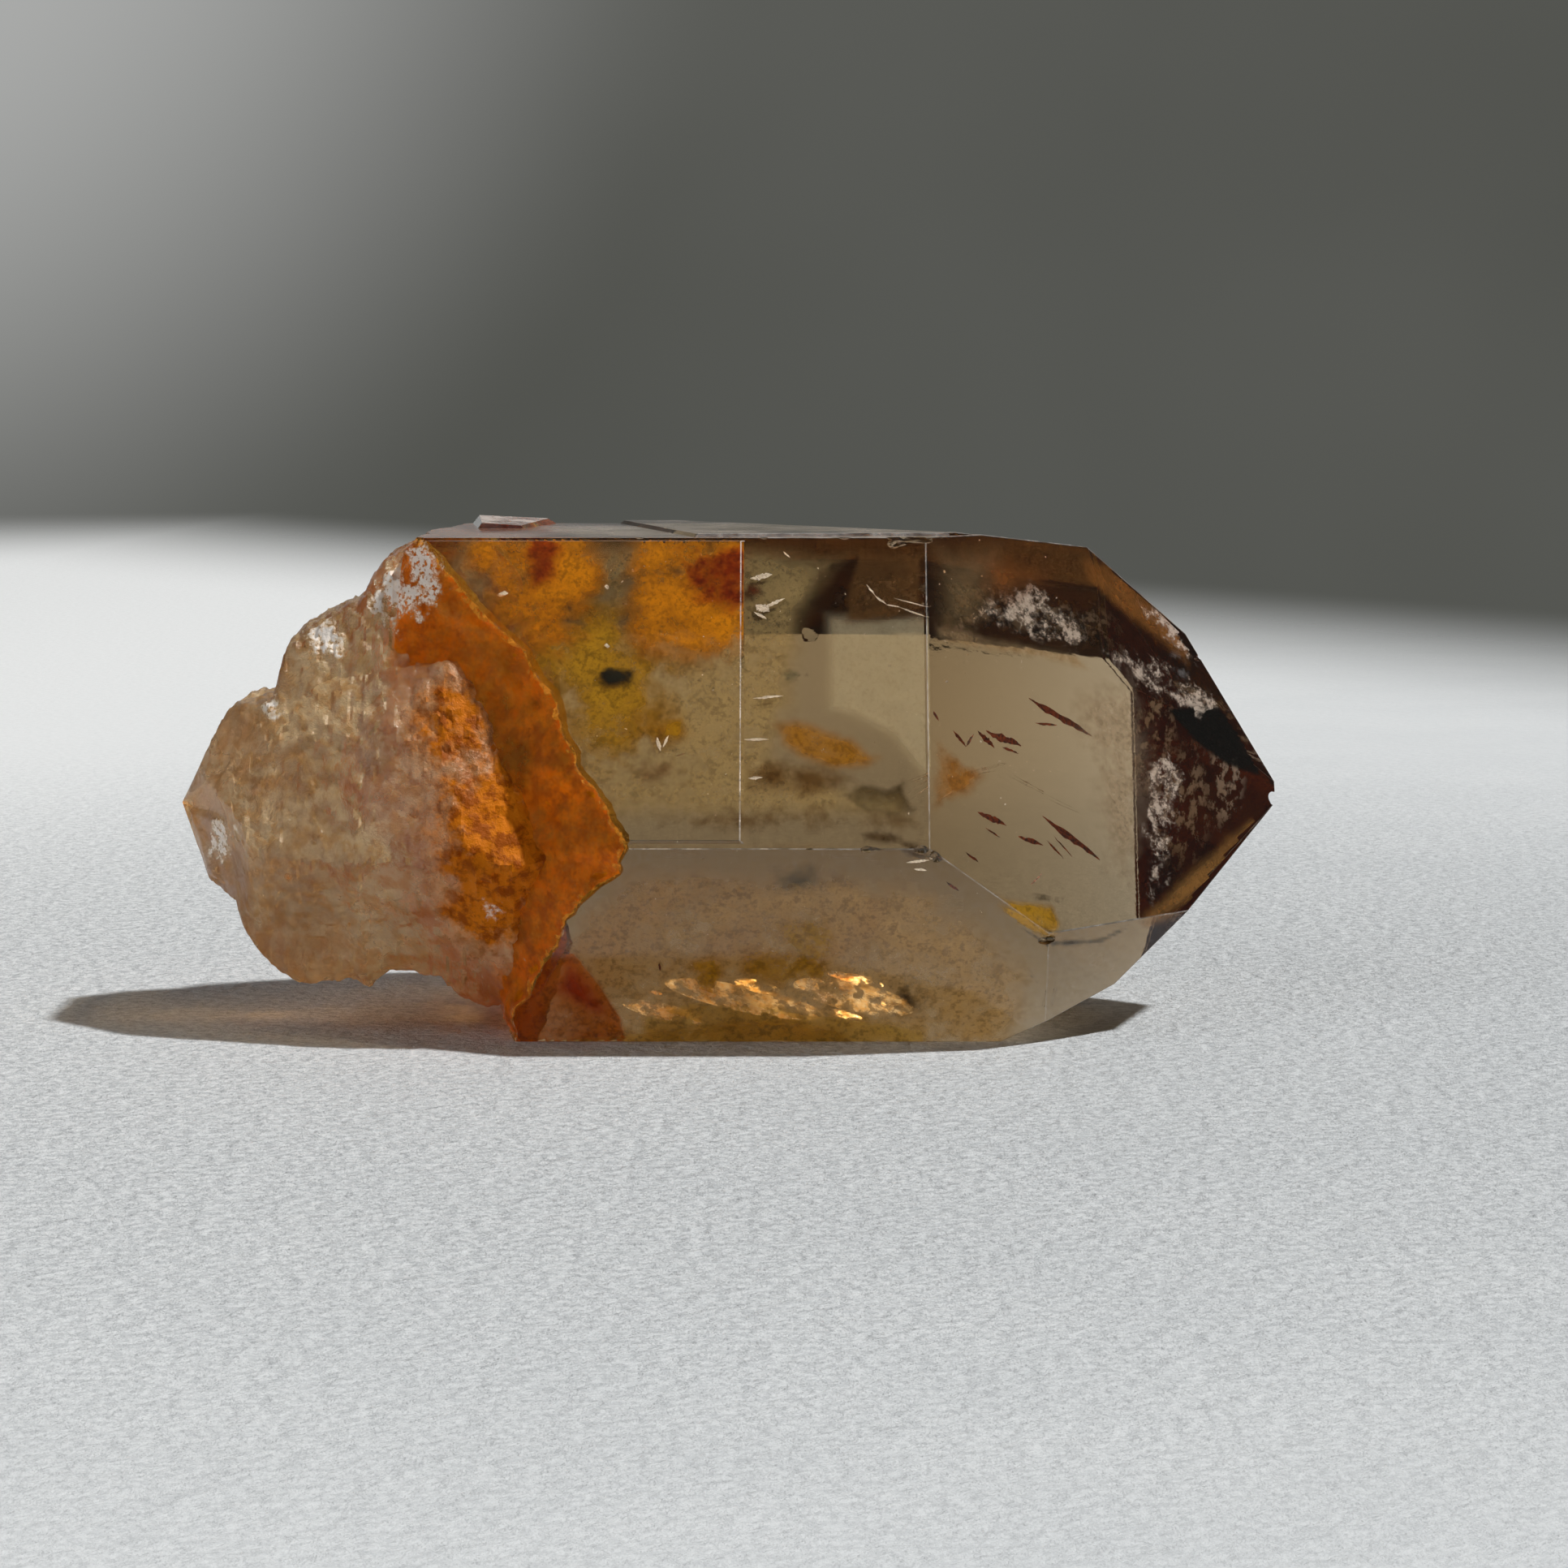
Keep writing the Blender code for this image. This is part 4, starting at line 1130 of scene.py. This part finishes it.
def stain_and_painted_light_material():
    """A thin film: part of it scatters light, and what passes through it takes its colour."""
    g = material_graph("iron_stain_and_painted_light")
    at = g.place()
    tint = g.kept("tint", "Color")
    core, opacity, ragged = g.add("SeparateXYZ", None, Vector=g.kept("cover")).outputs
    cloud = g.noise(at, 0.5, 2.0, 0.5)
    fine = g.noise(at, 2.0, 6.0, 0.68)
    grain = g.noise(at, 5.0, 4.0, 0.7)
    speck = g.ramp(g.plus(g.times(grain, 0.5), g.times(fine, 0.5)), 0.45, 0.6)
    speck = g.times(speck, g.math("MULTIPLY", ragged, 2.5, clamp=True))
    colour = g.mix(speck, tint, g.mix(0.55, tint, (0.01, 0.006, 0.003, 1.0)))
    drift = g.plus(g.swing(fine, 3.0), g.swing(cloud, 3.4))
    body = g.ramp(g.plus(core, g.times(drift, ragged)), 0.0, 1.25, smooth=False)
    thick = g.times(body, g.ramp(core, 0.0, 0.8, smooth=False))
    share = g.times(thick, opacity, g.ramp(grain, 0.3, 0.6, 0.8, 1.0))
    lit = g.leaf(g.kept("glow", "Fac"), colour, 0.6, Specular_IOR_Level=0.0)
    return g.cover(share, lit, g.mix(g.times(thick, 0.9), WHITE, tint))


def frost_material():
    """White lace of tiny healed cracks."""
    g = material_graph("frost_lace")
    at = g.place()
    core, opacity, _ = g.add("SeparateXYZ", None, Vector=g.kept("cover")).outputs
    lace = g.noise(at, 2.2, 8.0, 0.8)
    flock = g.noise(at, 0.8, 3.0, 0.55)
    level = g.plus(lace, g.times(core, 0.16), g.times(flock, 0.5))
    share = g.times(g.ramp(level, 0.84, 1.04), opacity, g.ramp(core, 0.0, 0.4))
    colour = g.mix(lace, rgb(190, 164, 150), rgb(255, 250, 245))
    return g.cover(share, g.leaf(0.3, colour, 0.5))


def blade(start, end, width, rng):
    """Points down both sides of a feathery plate from start to end."""
    steps = 14
    a, along = Vector(start), Vector(end) - Vector(start)
    side = along.cross(Vector((0, -0.95, 0.3))).normalized()
    tilt = Vector((0, -0.9, 0.4)) * 0.25
    points = []
    for i in range(steps + 1):
        t = i / steps
        half = 0.5 * width * math.sin(math.pi * min(max(t, 0.02), 0.98)) ** 0.8
        bend = side * (0.12 * width * math.sin(5 * t + rng.random()))
        for sign in (-1, 1):
            ragged = 1.0 + rng.uniform(-0.35, 0.35)
            points.append(a + along * t + bend + (side + tilt * sign) * (sign * half * ragged))
    return points


def build_blades(name, table, material, seed, copies=1, spread=0.0):
    rng = random.Random(seed)
    points, squares = [], []
    for start, end, width in table:
        for _ in range(copies):
            off = Vector([rng.uniform(-spread, spread) for _ in range(3)])
            plate = blade(Vector(start) + off, Vector(end) + off * 0.5, width, rng)
            squares += grid_quads(len(plate) // 2, 2, len(points), joined=False)
            points += plate
    add_piece(mesh_object(name, points, squares), material)


def build_flecks(material):
    """Specks of pale dust and tiny bubbles under the front faces."""
    rng = random.Random(SEED + 3)
    points, triangles = [], []
    for _ in range(FLECKS):
        which = LOWER if rng.random() < 0.35 else UPPER
        x = rng.uniform(-7.0, 13.5)
        z = rng.uniform(8.6, 19.6) if which == UPPER else rng.uniform(0.8, 8.0)
        depth = 0.15 + 5.0 * rng.random() ** 2
        if which == LOWER and x > 11 or x < -4 and z < 12:
            continue
        size = 0.02 + 0.055 * rng.random() ** 3
        middle = Vector(behind_face(which, depth, [(x, z)])[0])
        k = len(points)
        points += [middle + unit([rng.gauss(0, 1) for _ in range(3)]) * size for _ in range(4)]
        corners = ((0, 1, 2), (0, 3, 1), (1, 3, 2), (2, 3, 0))
        triangles += [tuple(k + i for i in corner) for corner in corners]
    add_piece(mesh_object("pale_flecks", points, triangles), material)


# Mirror films that throw the key lamp's light to the camera as painted glints and sheen.
def build_glints(name, table, material):
    side = (Vector((1, 0, 0)) - GLINT_FACING * GLINT_FACING.x).normalized()
    up = GLINT_FACING.cross(side)
    steps = 16
    points, squares = [], []
    for count, (middle, length, height) in enumerate(table):
        squares += grid_quads(steps + 1, steps + 1, len(points), joined=False)
        for i, j in itertools.product(range(steps + 1), repeat=2):
            a, b = 2 * i / steps - 1, 2 * j / steps - 1
            wide = a * math.sqrt(1 - b * b / 2) * length
            tall = b * math.sqrt(1 - a * a / 2) * height
            p = Vector(middle) + side * wide + up * tall
            lump = noise.fractal(p * 1.6 + Vector((count, 0, 0)), 0.9, 2.0, 4)
            points.append(p + GLINT_FACING * (0.035 * lump + 0.02 * (a * a + b * b)))
    add_piece(mesh_object(name, points, squares), material, smooth=True)


def build_healed_break(material):
    """The stained break where it goes on inside, between the base and the clear body."""
    table, prism = rim_table(), prism_faces()
    rings, angles = 26, 120
    points = []
    for r in range(rings):
        ring = 0.02 + 0.965 * r / (rings - 1)
        for angle in full_turn(angles):
            points.append(wall_point(angle, ring, table, prism) + SKIN_INSET)
    # Each square is turned over to face the clear body.
    squares = [(a, d, c, b) for a, b, c, d in grid_quads(rings, angles)]
    add_piece(mesh_object("healed_break", points, squares), material, smooth=True)


def build_rim_line(material):
    """The thin bright line where the stained break comes up to the front faces."""
    table, prism = rim_table(), prism_faces()
    steps = 220
    points = []
    for i in range(steps + 1):
        angle = math.radians(100 + 150 * i / steps)
        for ring in (0.972, 0.99):
            points.append(wall_point(angle, ring, table, prism) + RIM_INSET)
    squares = grid_quads(steps + 1, 2, joined=False)
    add_piece(mesh_object("rim_line", points, squares), material)


def rim_material():
    g = material_graph("rim_crumbs")
    crumbs = g.noise(g.place(), 2.6, 6.0, 0.7)
    colour = g.mix(crumbs, rgb(250, 230, 200), rgb(216, 176, 120))
    return g.cover(g.ramp(crumbs, 0.4, 0.6, 0.0, 0.9), g.surface(colour, 0.4))


def healed_material():
    g = material_graph("healed_break")
    at = g.place()
    fine = g.noise(at, 1.5, 6.0, 0.66)
    coarse = g.noise(at, 0.3, 3.0, 0.5)
    colour = g.mix(g.ramp(fine, 0.42, 0.66), rgb(255, 164, 14), rgb(216, 110, 8))
    colour = g.mix(g.ramp(coarse, 0.5, 0.66), colour, rgb(150, 76, 14))
    lit = g.leaf(0.6, colour, 0.6, Specular_IOR_Level=0.0)
    return g.cover(g.ramp(fine, 0.3, 0.62, 0.95, 0.6), lit)


def lath_material():
    g = material_graph("rust_plate")
    fine = g.noise(g.place(), 9.0, 4.0, 0.6)
    colour = g.mix(g.ramp(fine, 0.35, 0.65), rgb(150, 66, 28), rgb(52, 24, 16))
    return g.finish(g.leaf(0.35, colour, 0.4))


def hair_material():
    g = material_graph("grey_hair")
    at = g.place()
    broken = g.ramp(g.noise(at, 2.2, 4.0, 0.6), 0.45, 0.6, 0.15, 0.75)
    colour = g.mix(g.noise(at, 6.0), rgb(150, 128, 100), rgb(96, 70, 48))
    return g.cover(broken, g.surface(colour, 0.4))


# White for the bright cracks and pale flecks, and for the small glints of light that the cracks
# paint.
def shard_material():
    g = material_graph("white_speck_and_glint")
    height = g.noise(g.place(), 7.0, 4.0, 0.6)
    colour = g.mix(height, rgb(255, 250, 240), rgb(225, 205, 180))
    return g.finish(g.surface(colour, 0.35, Normal=g.bump(height, 0.0002)))


# A warm metal film for the painted glints and sheen.
def glint_material(name, soft, cover):
    g = material_graph(name)
    at = g.place()
    height = g.noise(at, 3.0, 5.0, 0.62)
    colour = g.mix(g.ramp(height, 0.35, 0.65), rgb(255, 250, 236), rgb(255, 226, 164))
    rough = g.ramp(height, 0.3, 0.7, soft, soft + 0.2)
    shader = g.surface(colour, rough, Metallic=1.0, Normal=g.bump(height, 0.00002))
    return g.cover(g.ramp(g.noise(at, 1.2, 6.0, 0.66), 0.42, 0.6, 0.0, cover), shader)


def build_inside():
    build_healed_break(healed_material())
    build_rim_line(rim_material())
    build_stains_and_painted_light(stain_and_painted_light_material(), frost_material())
    build_blades("rust_plates", LATHS, lath_material(), SEED + 4)
    build_blades("grey_hairs", HAIRS, hair_material(), SEED + 5, copies=2, spread=0.12)
    build_blades("bright_cracks_and_glints", SHARDS, shard_material(), SEED + 6)
    build_flecks(shard_material())
    build_glints("caustic_glints", CAUSTIC_GLINTS, glint_material("caustic_glint", 0.25, 0.95))
    build_glints("caustic_sheen", CAUSTIC_SHEEN, glint_material("caustic_sheen", 0.5, 0.6))


# ---------------------------------------------------------------- stage


CAMERA_PLACE = (2.2, -200.0, 31.5)
CAMERA_PITCH = 6.2
FOCAL_PIXELS = 6000.0
FRAME_PIXELS = 1932.0
SENSOR = 36.0
FLOOR_REACH = 0.42


def floor_material():
    """Pale, fine-grained card that fades out far away and behind on the right, with painted light
    making it paler towards the far left.
    """
    g = material_graph("pale_floor")
    at = g.add("TexCoord").outputs["Object"]
    far = g.size("LENGTH", at)
    near = g.ramp(far, 0.03, 0.13, 1.0, 0.12)
    grain = g.ramp(g.noise(at, 2200.0, 3.0, 0.75), 0.4, 0.62)
    # Painted light: the card is made paler towards the far left.
    painted_light_left = g.ramp(g.size("DOT_PRODUCT", at, (-0.95, 0.3, 0.0)), -0.05, 0.12)
    colour = g.mix(g.noise(at, 90.0, 4.0, 0.6), rgb(222, 226, 229), rgb(206, 211, 215))
    colour = g.mix(painted_light_left, colour, rgb(240, 243, 245))
    colour = g.mix(g.times(grain, near, 0.6), colour, rgb(168, 173, 178))
    normal = g.bump(g.times(g.noise(at, 800.0, 5.0, 0.7), near), 0.0008, 0.8)
    shader = g.surface(colour, 0.75, Normal=normal, Specular_IOR_Level=0.2)
    beyond = g.ramp(g.size("DOT_PRODUCT", at, (0.79, 0.61, 0.0)), 0.115, 0.2)
    fade = g.math("MAXIMUM", g.ramp(far, 0.3, 0.41), beyond)
    return g.finish(g.blend(fade, shader, g.add("BsdfTransparent")))


def build_floor():
    bm = bmesh.new()
    bmesh.ops.create_circle(bm, cap_ends=True, segments=96, radius=FLOOR_REACH)
    floor = from_bmesh("floor", bm)
    floor.data.materials.append(floor_material())


def build_world():
    """A dim room with one paler patch, seen and reflected but not lighting the floor."""
    world = bpy.data.worlds.new("room")
    bpy.context.scene.world = world
    world.cycles_visibility.diffuse = False
    g = Graph(world, "OutputWorld")
    where = g.add("TexCoord").outputs["Generated"]
    room = g.mix(g.noise(where, 5.0, 3.0, 0.5), rgb(70, 71, 66), rgb(98, 99, 95))
    patch = g.ramp(g.size("DISTANCE", where, (-0.2, 0.97, 0.1)), 0.05, 0.2, 0.75, 0.0)
    g.finish(g.add("Background", None, _0=g.mix(patch, room, rgb(190, 191, 190))))


def area_light(name, direction, distance, size, power, colour=(1, 1, 1)):
    data = bpy.data.lights.new(name, "AREA")
    data.shape = "DISK"
    data.size = size
    data.energy = power
    data.color = colour
    light = new_object(name, data)
    light.location = unit(direction) * distance
    light.rotation_euler = Vector(direction).to_track_quat("Z", "Y").to_euler()


def build_lights():
    area_light("key", (0.5, -0.12, 0.86), 2.2, 0.11, 50.0, (1.0, 0.98, 0.95))
    area_light("fill", (-0.75, -0.5, 0.45), 1.0, 0.9, 2.1)
    area_light("back", (-0.1, 0.8, 0.65), 1.0, 0.7, 0.55)


def build_camera():
    data = bpy.data.cameras.new("camera")
    data.sensor_width = SENSOR
    data.lens = SENSOR * FOCAL_PIXELS / FRAME_PIXELS
    data.clip_start = 0.001
    camera = new_object("camera", data)
    camera.location = (Vector(CAMERA_PLACE) - CENTRE) * MM
    camera.rotation_euler = (math.radians(90 - CAMERA_PITCH), 0, 0)
    bpy.context.scene.camera = camera


def settings():
    scene = bpy.context.scene
    scene.view_settings.view_transform = "Standard"
    scene.view_settings.look = "None"
    cycles = scene.cycles
    cycles.max_bounces = 24
    cycles.transmission_bounces = 24
    cycles.glossy_bounces = 12
    cycles.diffuse_bounces = 5
    cycles.transparent_max_bounces = 40
    cycles.sample_clamp_indirect = 6.0
    cycles.blur_glossy = 0.3
    cycles.use_denoising = True


def add_piece(obj, material, smooth=None):
    obj.data.materials.clear()
    obj.data.materials.append(material)
    if smooth is not None:
        obj.data.polygons.foreach_set("use_smooth", [smooth] * len(obj.data.polygons))
    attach(obj, "root")


shell = build_shell()
shell.name = "crystal_body"
set_regions(shell)
add_piece(shell, crystal_material())
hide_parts("citrine_crystal")
build_inside()

build_floor()
build_world()
build_lights()
build_camera()
settings()
